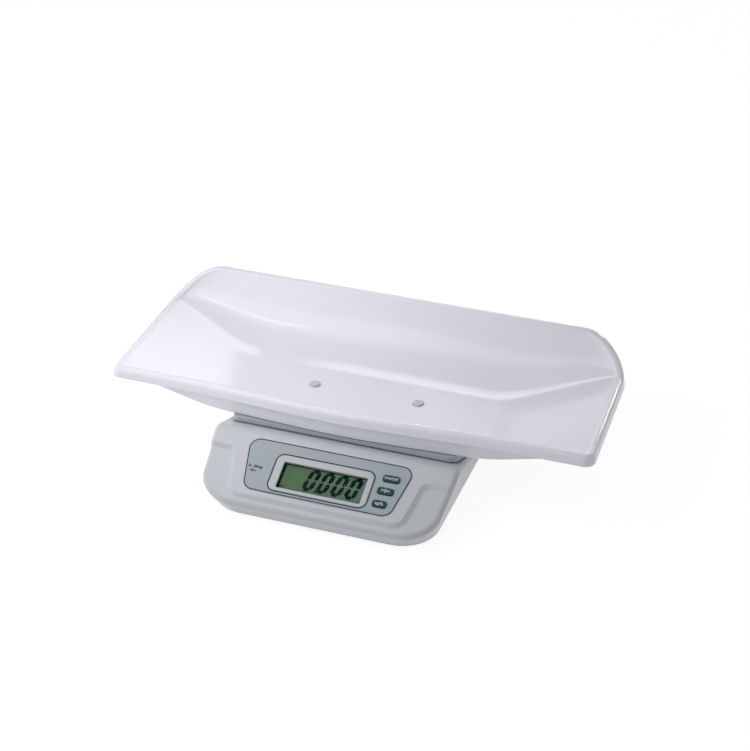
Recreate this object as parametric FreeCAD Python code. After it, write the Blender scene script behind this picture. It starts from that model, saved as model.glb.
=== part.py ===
"""Digital baby weighing scale: a shaped tray on a load-cell platform, over a low housing with a sloped panel.

Millimetres. +X runs along the tray, +Y from the display to the back, +Z up from the table.
The origin is on the table, under the middle of the whole scale.
"""

import FreeCAD
import Part
import math
import os

Vector = FreeCAD.Vector

# --- Fits -------------------------------------------------------------------------------------------------
SEAT_GAP = 0.3                 # between a piece and the opening it sits in
RUN_GAP = 0.35                 # between pieces that slide past each other

# --- Base housing -----------------------------------------------------------------------------------------
HOUSING_WALL = 2.5
HOUSING_RIM_Z = 3.0            # lower rim of the housing above the table
FOOTPRINT_FRONT_Y = -142.5     # front of the housing at its lower rim
FOOTPRINT_REAR_Y = 118.0
FOOTPRINT_REAR_WIDTH = 268.0
FOOTPRINT_TAPER = 17.0         # narrower at the front
FOOTPRINT_FRONT_RADIUS = 42.0
REAR_RADIUS = 22.0
BELLY_LEVEL = 64.0             # height at which the flared walls are measured
BELLY_FRONT_Y = -177.6
BELLY_REAR_Y = 120.0
BELLY_FRONT_WIDTH = 282.0
BELLY_REAR_WIDTH = 277.0
BELLY_FRONT_RADIUS = 32.0

PANEL_SLOPE = 23.5             # degrees from level
PANEL_CENTRE_Y = -108.5
PANEL_CENTRE_Z = 46.6
CREST_RADIUS = 16.0            # round back of the sloped panel
CREST_Y = -71.5
BACK_SLOPE = 19.0              # degrees, falling to the platform
PAD_STEP = 3.0                 # raised panel above the two side wings
PAD_FLANK = 4.5
PAD_SHOULDER_V = 17.0          # where the raised panel widens to the full width
PAD_TOP_WIDTH = 209.0
PAD_BOTTOM_WIDTH = 190.0
PAD_BOTTOM_V = -38.0
PAD_INNER_RADIUS = 10.0
PAD_OUTER_RADIUS = 14.0
PAD_BEYOND = 9.0               # the panel's outline runs this far past the housing's sides
RIM_ROUND = 5.5                # rounding where the housing's walls meet its top

WELL_DECK_Z = 37.5             # top of the deck under the platform
WELL_WIDTH = 256.0
WELL_FRONT_Y = -46.0
WELL_REAR_Y = 113.0
WELL_RADIUS = 12.0

# --- Control panel ----------------------------------------------------------------------------------------
LABEL_THICK = 0.4
LABEL_TOP_WIDTH = 189.0
LABEL_BOTTOM_WIDTH = 164.0
LABEL_TOP_V = 31.5
LABEL_BOTTOM_V = -31.5
LABEL_ARCH = 2.5               # how far its lower edge bellies down
LABEL_ARCH_RADIUS = 1900.0
LABEL_RADIUS = 12.0
FRAME_CENTRE = (-1.5, -5.2)    # window frame, on the panel's own axes
FRAME_WIDTH = 109.0
FRAME_HEIGHT = 44.0
FRAME_RADIUS = 8.0
FRAME_PROUD = 0.9              # window frame above the housing's panel
FRAME_DEPTH = 3.4
FRAME_SKIRT = 3.2              # width of its skirt around the view
VIEW_CENTRE = (-0.3, -7.2)
VIEW_WIDTH = 94.5
VIEW_HEIGHT = 32.5
LENS_THICK = 1.2
LENS_MARGIN = 1.6
GLASS_THICK = 2.6
GLASS_MARGIN = 2.6
HOLDER_WALL = 2.0
STRIP_WIDTH = 2.0              # rubber contact strips under the glass
STRIP_INSET = 4.0              # their ends inside the view
BOARD_N = -10.6                # top of the main board below the panel
BOARD_THICK = 1.6
BOARD_CENTRE = (9.0, -5.0)
BOARD_WIDTH = 170.0
BOARD_HEIGHT = 52.0
BOARD_HOLE_INSET = 4.0
CHIP_SIZES = ((12.0, 12.0, 1.6), (8.0, 5.0, 1.5), (7.0, 5.0, 1.5), (3.4, 9.0, 2.6))
CHIP_PLACES = ((13.0, -1.0), (-15.0, -3.0), (39.0, -15.0), (35.0, 11.0))   # from the board's centre
BUZZER_PLACE = (-63.0, -9.0)
BUZZER_RADIUS = 6.0
BUZZER_HEIGHT = 4.5
BUZZER_HOLE_RADIUS = 1.0
KEY_U = (71.5, 69.5, 67.5)
KEY_V = (13.0, -2.5, -18.5)
KEY_WIDTH = (18.5, 18.0, 15.5)
KEY_HEIGHT = 8.6
KEY_PROUD = 1.4
KEY_TRAVEL = 0.8
KEY_FLANGE = 1.2
KEY_FLANGE_THICK = 1.2
KEY_STEM_RADIUS = 1.5
SWITCH_SIZE = 6.0
SWITCH_HEIGHT = 3.6

# --- Bottom cover, feet and battery bay -------------------------------------------------------------------
COVER_RECESS = 0.6
COVER_THICK = 2.5
FOOT_RADIUS = 11.0
FOOT_STEM_RADIUS = 3.0
FOOT_INSET = 26.0              # foot centres inside the lower rim, both ways
HOUSING_SCREW_ROWS = ((-82.0, 104.0), (18.0, 116.0), (104.0, 88.0))   # y of a row and half its pitch
COVER_PAD_RADIUS = 5.6         # raised pad around each housing screw
BOSS_RADIUS = 4.0
SCREW_RADIUS = 1.5
THREAD_GAP = 0.05
SCREW_HEAD_RADIUS = 2.8
SCREW_HEAD_HEIGHT = 1.8
HOUSING_SCREW_LENGTH = 14.0
BOARD_SCREW_LENGTH = 7.0
COVER_SCREW_LENGTH = 12.0
CELL_COUNT = 4
AA_RADIUS = 7.2
AA_LENGTH = 49.5
AA_NUB_RADIUS = 2.7
AA_NUB_HEIGHT = 1.0
AA_PITCH = 15.2
BAY_WALL = 1.6
CONTACT_ROOM = 3.6             # for a contact strip at each end of the cells
CONTACT_WIDTH = 12.0
CONTACT_THICK = 0.5
LEAF_WIDTH = 4.0               # the folded leaf that presses on the cell
LEAF_HEIGHT = 10.0
LEAF_FOOT = 0.9
DOOR_THICK = 2.0
DOOR_TONGUE = 1.6
DOOR_TONGUE_THICK = 0.9
DOOR_GRIP_COUNT = 4
DOOR_GRIP_PITCH = 3.0
DOOR_GRIP_SIZE = (18.0, 1.2)

# --- Load cell and its stack ------------------------------------------------------------------------------
PLATFORM_CENTRE_Y = 30.0
CHASSIS_THICK = 2.0
CHASSIS_LENGTH = 190.0
CHASSIS_DEPTH = 44.0
CHASSIS_SCREW_INSET = 9.0
LOWER_SPACER = 4.0
BEAM_LENGTH = 130.0
BEAM_WIDTH = 30.0
BEAM_HEIGHT = 20.0
BEAM_BORE_RADIUS = 7.0
BEAM_BORE_PITCH = 22.0
BEAM_SCREW_X = 46.0
BEAM_SCREW_PITCH = 15.0
BEAM_SCREW_RADIUS = 2.5
BEAM_SCREW_BITE = 10.0
BEAM_HEAD_RADIUS = 4.2
BEAM_HEAD_HEIGHT = 2.3
SPACER_LENGTH = 32.0
UPPER_SPACER = 11.1
SPIDER_THICK = 3.0
SPIDER_LENGTH = 196.0
SPIDER_DEPTH = 112.0
SPIDER_ARM = 26.0
SPIDER_WEB = 46.0              # width of its middle bar
OVERLOAD_GAP = 0.5
STOP_X = 52.0
STOP_RADIUS = 2.5
STOP_NUT_ACROSS = 8.0
STOP_NUT_HEIGHT = 2.4
POTTING_LENGTH = 40.0
POTTING_HEIGHT = 15.0
POTTING_THICK = 2.0
LEAD_RADIUS = 1.8
LEAD_START_GAP = 0.45          # its cut end stands off the potting
LEAD_LOW_POINT = (-14.0, -30.0, 14.5)
LEAD_DROP = 29.0               # straight run under its plug
PLUG_PLACE = (-20.0, 9.0)
PLUG_SIZE = (10.0, 6.0, 6.0)

# --- Platform ---------------------------------------------------------------------------------------------
PLATFORM_Z = 62.8              # top of the platform, where the tray stands
PLATFORM_WALL = 2.8
PLATFORM_RIB = 5.0             # ribs under its top
PLATFORM_TOP_WIDTH = 254.0
PLATFORM_SKIRT_WIDTH = 271.0
PLATFORM_FRONT_Y = -54.5
PLATFORM_REAR_Y = 111.5
PLATFORM_REAR_FLARE = 5.0
PLATFORM_RADIUS = 8.0
PLATFORM_GAP = 1.5             # under the platform's skirt
STUD_X = 61.0
STUD_RADIUS = 6.2
STUD_DOME = 2.0
STUD_SHANK_RADIUS = 2.5

# --- Tray -------------------------------------------------------------------------------------------------
TRAY_LENGTH = 549.0
TRAY_DEPTH = 213.0             # over the middle
TRAY_FRONT_Y = -57.7           # front of the rim at the middle
FRONT_BOW = 7.4                # how far the front falls back towards the ends
FRONT_BOW_SHARE = 0.68         # share of the half length that it takes
TRAY_WALL = 3.2
TRAY_WELL_DEPTH = 26.2
TRAY_BACK_RISE = 32.2
TRAY_FLOOR_LENGTH = 268.0
RAMP_SOFT = 0.36               # share of a ramp's length in which it curves up from the floor
RAMP_SOFT_STEPS = 4
FLOOR_STEPS = 4                # stations over half the floor
TRAY_FOOT_Y = 61.0             # foot of the back wall along the floor
TRAY_FOOT_END_Y = 111.0        # the same at the two ends
RAMP_TOP = 0.6                 # the ramps run up into the rim's crown
FRONT_CORNER_RADIUS = 11.5
BACK_CORNER_X = 56.6
BACK_CORNER_Y = 49.6
BACK_RISE_POWER = 1.85
CORNER_STATIONS = (90, 79, 69, 60, 51, 43, 36, 29, 23, 19)   # degrees round a back corner
FRONT_FILLET = 11.0
UNDER_FILLET = 3.0
RIM_WIDTH = 10.5
RIM_CROWN = 1.5
RIM_CROWN_S = 5.0              # crown inside the rim's outer line
RIM_DROP = 10.0
RIM_FLARE = 0.9                # the lip's lower edge stands outside its top
RIM_THICK = 3.0
RIM_UNDER = 3.2                # flat underside of the roll, below the rim's level
WALL_SEAT = 10.0               # inner face of the back wall inside the rim's outer line
WALL_TOP_THICK = 2.4

# --- Levels and places that follow ------------------------------------------------------------------------
FOOTPRINT_FRONT_WIDTH = FOOTPRINT_REAR_WIDTH - FOOTPRINT_TAPER
COVER_Z = HOUSING_RIM_Z + COVER_RECESS
COVER_TOP_Z = COVER_Z + COVER_THICK
CHASSIS_TOP_Z = COVER_TOP_Z + CHASSIS_THICK
BEAM_Z = CHASSIS_TOP_Z + LOWER_SPACER
BEAM_TOP_Z = BEAM_Z + BEAM_HEIGHT
SPIDER_Z = BEAM_TOP_Z + UPPER_SPACER
SPIDER_TOP_Z = SPIDER_Z + SPIDER_THICK
PLATFORM_UNDER_Z = PLATFORM_Z - PLATFORM_WALL
TRAY_FLOOR_Z = PLATFORM_Z + TRAY_WALL
RIM_Z = TRAY_FLOOR_Z + TRAY_WELL_DEPTH
TRAY_BACK_Y = TRAY_FRONT_Y + TRAY_DEPTH
BOARD_U = (BOARD_CENTRE[0] - BOARD_WIDTH / 2, BOARD_CENTRE[0] + BOARD_WIDTH / 2)
BOARD_V = (BOARD_CENTRE[1] - BOARD_HEIGHT / 2, BOARD_CENTRE[1] + BOARD_HEIGHT / 2)
FOOT_FRONT = (FOOTPRINT_FRONT_WIDTH / 2 - FOOT_INSET, FOOTPRINT_FRONT_Y + FOOT_INSET)
FOOT_REAR = (FOOTPRINT_REAR_WIDTH / 2 - FOOT_INSET, FOOTPRINT_REAR_Y - FOOT_INSET)
FOOT_PLACES = [(side * x, y) for x, y in (FOOT_FRONT, FOOT_REAR) for side in (-1, 1)]
HOUSING_SCREW_PLACES = [(side * x, y) for y, x in HOUSING_SCREW_ROWS for side in (-1, 1)]
SLOPE = math.radians(PANEL_SLOPE)
FALL = math.radians(BACK_SLOPE)
PANEL_TURN = FreeCAD.Rotation(Vector(1, 0, 0), PANEL_SLOPE)
PANEL = FreeCAD.Placement(Vector(0, PANEL_CENTRE_Y, PANEL_CENTRE_Z), PANEL_TURN)
FAR = 400.0                    # beyond every face, for cutting tools


# --- Small shape helpers ----------------------------------------------------------------------------------
def block(x, y, z):
    """A box from three (low, high) pairs."""
    return Part.makeBox(x[1] - x[0], y[1] - y[0], z[1] - z[0], Vector(x[0], y[0], z[0]))


def rod(x, y, z, radius):
    """An upright cylinder, from z[0] to z[1]."""
    return Part.makeCylinder(radius, z[1] - z[0], Vector(x, y, z[0]))


def round_corners(points, radii):
    """A closed wire on a flat polygon, each corner turned at its own radius (0 leaves it sharp)."""
    count = len(points)
    ends = []
    for i in range(count):
        here = points[i]
        to_last = (points[i - 1] - here).normalize()
        to_next = (points[(i + 1) % count] - here).normalize()
        half = math.acos(max(-1.0, min(1.0, to_last.dot(to_next)))) / 2
        if radii[i] > 0:
            reach = radii[i] / math.tan(half)
            middle = (to_last + to_next).normalize()
            centre = here + middle * (radii[i] / math.sin(half))
            ends.append((here + to_last * reach, centre - middle * radii[i], here + to_next * reach))
        else:
            ends.append((here, None, here))
    edges = []
    for i in range(count):
        start, middle, stop = ends[i]
        if middle is not None:
            edges.append(Part.Arc(start, middle, stop).toShape())
        edges.append(Part.makeLine(stop, ends[(i + 1) % count][0]))
    return Part.Wire(edges)


def rectangle(width, depth, radius, x=0.0, y=0.0, z=0.0):
    """A rounded rectangle wire, centred on (x, y) at height z."""
    a = width / 2
    b = depth / 2
    corners = [Vector(x + i * a, y + j * b, z) for i, j in ((-1, -1), (1, -1), (1, 1), (-1, 1))]
    return round_corners(corners, [radius] * 4)


def plate(wire, height):
    """A flat wire made solid, along +Z."""
    return Part.Face(wire).extrude(Vector(0, 0, height))


def on_panel(shape):
    """A shape made flat on the panel's own plane, moved to where the panel is."""
    moved = shape.copy()
    moved.Placement = PANEL.multiply(moved.Placement)
    return moved


def hexagon(x, y, z, across, bore):
    """A hexagon nut, from z[0] to z[1], with its bore."""
    reach = across / math.sqrt(3)
    turns = [math.radians(60 * k) for k in range(6)]
    points = [Vector(x + reach * math.cos(t), y + reach * math.sin(t), z[0]) for t in turns]
    nut = plate(Part.makePolygon(points + [points[0]]), z[1] - z[0])
    return nut.cut(rod(x, y, (z[0] - 1, z[1] + 1), bore))


# --- Housing ----------------------------------------------------------------------------------------------
def plan(z, inset):
    """The housing's outline at a height: its walls flare from the footprint to the belly."""
    share = (z - HOUSING_RIM_Z) / (BELLY_LEVEL - HOUSING_RIM_Z)

    def between(foot, belly):
        return foot + (belly - foot) * share

    front = between(FOOTPRINT_FRONT_Y, BELLY_FRONT_Y) + inset
    rear = between(FOOTPRINT_REAR_Y, BELLY_REAR_Y) - inset
    front_half = between(FOOTPRINT_FRONT_WIDTH, BELLY_FRONT_WIDTH) / 2 - inset
    rear_half = between(FOOTPRINT_REAR_WIDTH, BELLY_REAR_WIDTH) / 2 - inset
    front_radius = between(FOOTPRINT_FRONT_RADIUS, BELLY_FRONT_RADIUS) - inset
    rear_radius = REAR_RADIUS - inset
    corners = [Vector(-front_half, front, z), Vector(front_half, front, z)]
    corners += [Vector(rear_half, rear, z), Vector(-rear_half, rear, z)]
    return round_corners(corners, [front_radius, front_radius, rear_radius, rear_radius])


def side_profile(inset):
    """The region under the housing's top, drawn from the side and run across the whole width."""
    drop = Vector(0, 0, -inset)
    up_slope = Vector(0, math.cos(SLOPE), math.sin(SLOPE))
    into = Vector(0, math.sin(SLOPE), -math.cos(SLOPE))
    panel_point = Vector(0, PANEL_CENTRE_Y, PANEL_CENTRE_Z) + into * inset
    front_low = panel_point - up_slope * FAR
    crest_radius = CREST_RADIUS - inset
    # the crest's centre lies a radius below the panel's plane, at CREST_Y
    reach = (CREST_Y - PANEL_CENTRE_Y - CREST_RADIUS * math.sin(SLOPE)) / math.cos(SLOPE)
    centre = Vector(0, PANEL_CENTRE_Y, PANEL_CENTRE_Z) + up_slope * reach
    centre = centre + Vector(0, math.sin(SLOPE), -math.cos(SLOPE)) * CREST_RADIUS
    start = centre + Vector(0, -math.sin(SLOPE), math.cos(SLOPE)) * crest_radius
    middle = centre + Vector(0, 0, 1) * crest_radius
    stop = centre + Vector(0, math.sin(FALL), math.cos(FALL)) * crest_radius
    deck = WELL_DECK_Z - inset
    run = (stop.z - deck) / math.tan(FALL)
    landing = Vector(0, stop.y + run, deck)
    edges = [
        Part.makeLine(front_low, start),
        Part.Arc(start, middle, stop).toShape(),
        Part.makeLine(stop, landing),
        Part.makeLine(landing, Vector(0, FAR, deck)),
        Part.makeLine(Vector(0, FAR, deck), Vector(0, FAR, -FAR)),
        Part.makeLine(Vector(0, FAR, -FAR), Vector(0, front_low.y, -FAR)),
        Part.makeLine(Vector(0, front_low.y, -FAR), front_low),
    ]
    region = Part.Face(Part.Wire(edges)).extrude(Vector(2 * FAR, 0, 0))
    region.translate(Vector(-FAR, 0, 0))
    return region


def pad_outline(grow, n):
    """The raised panel's outline on the panel plane; it runs to the full width above its shoulder."""
    top = PAD_SHOULDER_V - grow
    low = PAD_BOTTOM_V - grow
    high_half = PAD_TOP_WIDTH / 2 + grow
    low_half = PAD_BOTTOM_WIDTH / 2 + grow
    side = BELLY_FRONT_WIDTH / 2 + PAD_BEYOND
    right = [Vector(low_half, low, n), Vector(high_half, top, n), Vector(side, top, n), Vector(side, side, n)]
    left = [Vector(-p.x, p.y, n) for p in reversed(right)]
    outer = PAD_OUTER_RADIUS + grow
    inner = PAD_INNER_RADIUS - grow
    return round_corners(right + left, [outer, inner, 0, 0, 0, 0, inner, outer])


def wing_cutter(inset):
    """What is taken away over the two side wings and in front of the raised panel."""
    slab = block((-FAR, FAR), (-FAR, FAR), (-PAD_STEP - inset, FAR))
    foot = pad_outline(PAD_FLANK - inset, -PAD_STEP - inset)
    flank = Part.makeLoft([foot, pad_outline(-inset, -inset)], True, True)
    above = plate(pad_outline(-inset, -inset), FAR + inset)
    return on_panel(slab.cut(flank.fuse(above)))


def housing_form(inset):
    """The housing's outside as one solid, or its inside when it is drawn in by a wall."""
    top = BELLY_LEVEL + 6.0
    low = HOUSING_RIM_Z if inset == 0 else HOUSING_RIM_Z - 5.0
    walls = Part.makeLoft([plan(low, inset), plan(top, inset)], True, True)
    return walls.common(side_profile(inset)).cut(wing_cutter(inset))


def well(grow):
    """The sunken deck that the platform's works stand in."""
    depth = WELL_REAR_Y - WELL_FRONT_Y + 2 * grow
    middle = (WELL_REAR_Y + WELL_FRONT_Y) / 2
    wire = rectangle(WELL_WIDTH + 2 * grow, depth, WELL_RADIUS + grow, 0, middle, WELL_DECK_Z - grow)
    return plate(wire, FAR)


# --- Top housing ------------------------------------------------------------------------------------------
def wall_edges(form, low, deck):
    """The edges where the walls meet the top, leaving out the level deck."""
    walls = [f for f in form.Faces if f.BoundBox.ZMin < low + 0.1 and f.BoundBox.ZLength > 1.0]
    found = []
    for edge in form.Edges:
        height = edge.CenterOfMass.z
        owners = sum(1 for w in walls if any(e.isSame(edge) for e in w.Edges))
        if owners == 1 and height > low + 1.0 and abs(height - deck) > 0.1:
            found.append(edge)
    return found


def panel_hole(width, height, radius, u, v):
    """A hole through the sloped panel."""
    return on_panel(plate(rectangle(width, height, radius, u, v, -HOUSING_WALL - 4.0), HOUSING_WALL + 8.0))


def key_holes(grow):
    """The three key openings, grown by a clearance."""
    holes = []
    for u, v, width in zip(KEY_U, KEY_V, KEY_WIDTH):
        holes.append(panel_hole(width + 2 * grow, KEY_HEIGHT + 2 * grow, KEY_HEIGHT * 0.38 + grow, u, v))
    return holes


def board_screw_places():
    """The board's four screws, on the panel's own axes."""
    i = BOARD_HOLE_INSET
    return [(u, v) for u in (BOARD_U[0] + i, BOARD_U[1] - i) for v in (BOARD_V[0] + i, BOARD_V[1] - i)]


def top_housing():
    """White moulding: flared walls, sloped raised panel, sunken deck for the platform, screw bosses."""
    outside = housing_form(0.0)
    outside = outside.makeFillet(RIM_ROUND, wall_edges(outside, HOUSING_RIM_Z, WELL_DECK_Z))
    outside = outside.cut(well(0.0))
    inside = housing_form(HOUSING_WALL)
    low = HOUSING_RIM_Z - 5.0
    inside = inside.makeFillet(RIM_ROUND - HOUSING_WALL, wall_edges(inside, low, WELL_DECK_Z - HOUSING_WALL))
    inside = inside.cut(well(HOUSING_WALL))
    shell = outside.cut(inside)
    bosses = []
    for x, y in HOUSING_SCREW_PLACES:
        bosses.append(rod(x, y, (CHASSIS_TOP_Z, BELLY_LEVEL), BOSS_RADIUS).common(outside))
    for u, v in board_screw_places():
        post = on_panel(Part.makeCylinder(BOSS_RADIUS, -BOARD_N - 1.0, Vector(u, v, BOARD_N)))
        bosses.append(post)
    shell = shell.fuse(bosses)
    holes = []
    for x, y in HOUSING_SCREW_PLACES:
        tip = COVER_TOP_Z + HOUSING_SCREW_LENGTH
        holes.append(rod(x, y, (CHASSIS_TOP_Z - 1.0, tip), SCREW_RADIUS + THREAD_GAP))
    for u, v in board_screw_places():
        pilot = Part.makeCylinder(SCREW_RADIUS + THREAD_GAP, 7.5, Vector(u, v, BOARD_N - 1.0))
        holes.append(on_panel(pilot))
    skirt = 2 * FRAME_SKIRT + 2 * SEAT_GAP
    holes.append(panel_hole(VIEW_WIDTH + skirt, VIEW_HEIGHT + skirt, 1.5, *VIEW_CENTRE))
    holes += key_holes(RUN_GAP)
    half = SPACER_LENGTH / 2 + 4.0
    side = BEAM_WIDTH / 2 + 4.0
    y = PLATFORM_CENTRE_Y
    across = (BEAM_SCREW_X - half, BEAM_SCREW_X + half)
    holes.append(block(across, (y - side, y + side), (WELL_DECK_Z - 5.0, WELL_DECK_Z + 1.0)))
    notch = DOOR_HALF + DOOR_TONGUE + RUN_GAP
    holes.append(block((-notch, notch), (BAY_REAR_Y, FAR), (0.0, COVER_TOP_Z + SEAT_GAP)))
    return shell.cut(holes)


# --- Control panel pieces ---------------------------------------------------------------------------------
def label_outline(n):
    """The printed label's outline: wider at the top, with a slightly arched lower edge."""
    top = LABEL_TOP_WIDTH / 2
    low = LABEL_BOTTOM_WIDTH / 2
    points = [Vector(-low, LABEL_BOTTOM_V, n), Vector(0, LABEL_BOTTOM_V - LABEL_ARCH, n)]
    points += [Vector(low, LABEL_BOTTOM_V, n), Vector(top, LABEL_TOP_V, n), Vector(-top, LABEL_TOP_V, n)]
    return round_corners(points, [LABEL_RADIUS, LABEL_ARCH_RADIUS, LABEL_RADIUS, LABEL_RADIUS, LABEL_RADIUS])


def frame_outline(grow, n):
    """The window frame's outline."""
    width = FRAME_WIDTH + 2 * grow
    height = FRAME_HEIGHT + 2 * grow
    return rectangle(width, height, FRAME_RADIUS + grow, FRAME_CENTRE[0], FRAME_CENTRE[1], n)


def control_label():
    """Thin printed plastic label stuck on the raised panel, cut out for the window frame and the keys."""
    sheet = plate(label_outline(0.0), LABEL_THICK)
    sheet = sheet.cut(plate(frame_outline(SEAT_GAP, -1.0), 3.0))
    return on_panel(sheet).cut(key_holes(RUN_GAP))


def view_block(grow, low, high, radius=0.8):
    """A block over the view, on the panel's own axes, from one level to another."""
    u, v = VIEW_CENTRE
    wire = rectangle(VIEW_WIDTH + 2 * grow, VIEW_HEIGHT + 2 * grow, radius, u, v, low)
    return plate(wire, high - low)


def window_frame():
    """Bezel: a flange on the panel and a skirt through it, recessed from behind for the lens."""
    flange = plate(frame_outline(0.0, 0.0), FRAME_PROUD)
    top_edges = [e for e in flange.Edges if abs(e.BoundBox.ZMin - FRAME_PROUD) < 0.01]
    flange = flange.makeFillet(0.5, top_edges)
    body = flange.fuse(view_block(FRAME_SKIRT, -FRAME_DEPTH, 0.0, 1.2)).cut(view_block(0.0, -9.0, 9.0))
    recess = view_block(LENS_MARGIN + SEAT_GAP / 2, -FRAME_DEPTH - 1.0, -FRAME_DEPTH + LENS_THICK)
    return on_panel(body.cut(recess))


def display_lens():
    """Clear acrylic lens in the back of the window frame."""
    return on_panel(view_block(LENS_MARGIN, -FRAME_DEPTH, -FRAME_DEPTH + LENS_THICK))


GLASS_TOP_N = -FRAME_DEPTH - SEAT_GAP
GLASS_LOW_N = GLASS_TOP_N - GLASS_THICK


def lcd_glass():
    """The liquid-crystal glass sandwich."""
    return on_panel(view_block(GLASS_MARGIN, GLASS_LOW_N, GLASS_TOP_N, 0.5))


def lcd_holder():
    """Moulded frame that carries the glass above the board."""
    ring = view_block(GLASS_MARGIN + HOLDER_WALL, BOARD_N, GLASS_TOP_N - 0.2, 1.5)
    ring = ring.cut(view_block(GLASS_MARGIN + SEAT_GAP / 2, GLASS_LOW_N, 0.0, 0.5))
    return on_panel(ring.cut(view_block(-0.5, BOARD_N - 1.0, 0.0)))


def contact_strips():
    """Two rubber strips that carry the signals from the board up to the glass."""
    u = VIEW_CENTRE[0]
    half = VIEW_WIDTH / 2 - STRIP_INSET
    strips = []
    for sign in (-1, 1):
        edge = VIEW_CENTRE[1] + sign * (VIEW_HEIGHT / 2 - 0.5 - RUN_GAP)
        across = sorted((edge, edge - sign * STRIP_WIDTH))
        strips.append(on_panel(block((u - half, u + half), across, (BOARD_N, GLASS_LOW_N))))
    return Part.makeCompound(strips)


def main_board():
    """Glass-fibre board under the panel, with four screw holes."""
    board = block(BOARD_U, BOARD_V, (BOARD_N - BOARD_THICK, BOARD_N))
    for u, v in board_screw_places():
        board = board.cut(Part.makeCylinder(SCREW_RADIUS + 0.2, 9.0, Vector(u, v, BOARD_N - 5.0)))
    return on_panel(board)


def board_screws():
    """Four pan-head screws, driven from under the board into the panel's posts."""
    screws = []
    low = BOARD_N - BOARD_THICK
    for u, v in board_screw_places():
        head = Part.makeCylinder(SCREW_HEAD_RADIUS, SCREW_HEAD_HEIGHT, Vector(u, v, low - SCREW_HEAD_HEIGHT))
        shank = Part.makeCylinder(SCREW_RADIUS, BOARD_SCREW_LENGTH, Vector(u, v, low))
        screws.append(on_panel(head.fuse(shank)))
    return Part.makeCompound(screws)


def board_chips():
    """The packages soldered to the underside of the board."""
    low = BOARD_N - BOARD_THICK
    chips = []
    for (du, dv), (a, b, height) in zip(CHIP_PLACES, CHIP_SIZES):
        u = BOARD_CENTRE[0] + du
        v = BOARD_CENTRE[1] + dv
        chips.append(block((u - a / 2, u + a / 2), (v - b / 2, v + b / 2), (low - height, low)))
    return on_panel(Part.makeCompound(chips))


def buzzer():
    """Round sounder on the underside of the board."""
    foot = BOARD_N - BOARD_THICK - BUZZER_HEIGHT
    place = Vector(BOARD_CENTRE[0] + BUZZER_PLACE[0], BOARD_CENTRE[1] + BUZZER_PLACE[1], foot)
    body = Part.makeCylinder(BUZZER_RADIUS, BUZZER_HEIGHT, place)
    return on_panel(body.cut(Part.makeCylinder(BUZZER_HOLE_RADIUS, 1.0, place)))


def key(i):
    """A key: rounded cap through the panel, a retaining flange behind it and a stem down to its switch."""
    u = KEY_U[i]
    v = KEY_V[i]
    flange_top = -HOUSING_WALL - 0.2
    flange_low = flange_top - KEY_FLANGE_THICK
    top = LABEL_THICK + KEY_PROUD
    cap = plate(rectangle(KEY_WIDTH[i], KEY_HEIGHT, KEY_HEIGHT * 0.38, u, v, flange_low), top - flange_low)
    cap = cap.makeFillet(0.9, [e for e in cap.Edges if abs(e.BoundBox.ZMin - top) < 0.01])
    grow = 2 * KEY_FLANGE
    wide = rectangle(KEY_WIDTH[i] + grow, KEY_HEIGHT + grow, KEY_HEIGHT * 0.38, u, v, flange_low)
    flange = plate(wide, KEY_FLANGE_THICK)
    stem = Part.makeCylinder(KEY_STEM_RADIUS, flange_low - PLUNGER_TOP_N, Vector(u, v, PLUNGER_TOP_N))
    return on_panel(cap.fuse([flange, stem]))


SWITCH_TOP_N = BOARD_N + SWITCH_HEIGHT
PLUNGER_TOP_N = SWITCH_TOP_N + 1.0
PLUNGER_RADIUS = 1.6
PLUNGER_LENGTH = 2.2


def switch_body(i):
    """Tact switch on the board, bored for its plunger."""
    u = KEY_U[i]
    v = KEY_V[i]
    half = SWITCH_SIZE / 2
    body = block((u - half, u + half), (v - half, v + half), (BOARD_N, SWITCH_TOP_N))
    depth = PLUNGER_LENGTH - 1.0 + KEY_TRAVEL + 0.2
    bore = Part.makeCylinder(PLUNGER_RADIUS + RUN_GAP / 2, depth + 1.0, Vector(u, v, SWITCH_TOP_N - depth))
    return on_panel(body.cut(bore))


def switch_plunger(i):
    """The switch's plunger; it travels with its key."""
    low = PLUNGER_TOP_N - PLUNGER_LENGTH
    return on_panel(Part.makeCylinder(PLUNGER_RADIUS, PLUNGER_LENGTH, Vector(KEY_U[i], KEY_V[i], low)))


# --- Bottom cover, feet, battery bay ----------------------------------------------------------------------
CELL_ROW = CELL_COUNT * AA_PITCH
BAY_HALF = CELL_ROW / 2 + 0.6
BAY_LENGTH = AA_LENGTH + AA_NUB_HEIGHT + 2 * CONTACT_ROOM
BAY_REAR_Y = 112.8
BAY_FRONT_Y = BAY_REAR_Y - BAY_LENGTH
DOOR_HALF = BAY_HALF + 1.2
DOOR_TOP_Z = COVER_Z + DOOR_THICK
CELL_AXIS_Z = DOOR_TOP_Z + SEAT_GAP + AA_RADIUS
BAY_CEILING_Z = CELL_AXIS_Z + AA_RADIUS + SEAT_GAP
GROOVE_Z = (COVER_Z + 0.8, COVER_Z + 0.8 + DOOR_TONGUE_THICK + 2 * RUN_GAP)


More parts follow.
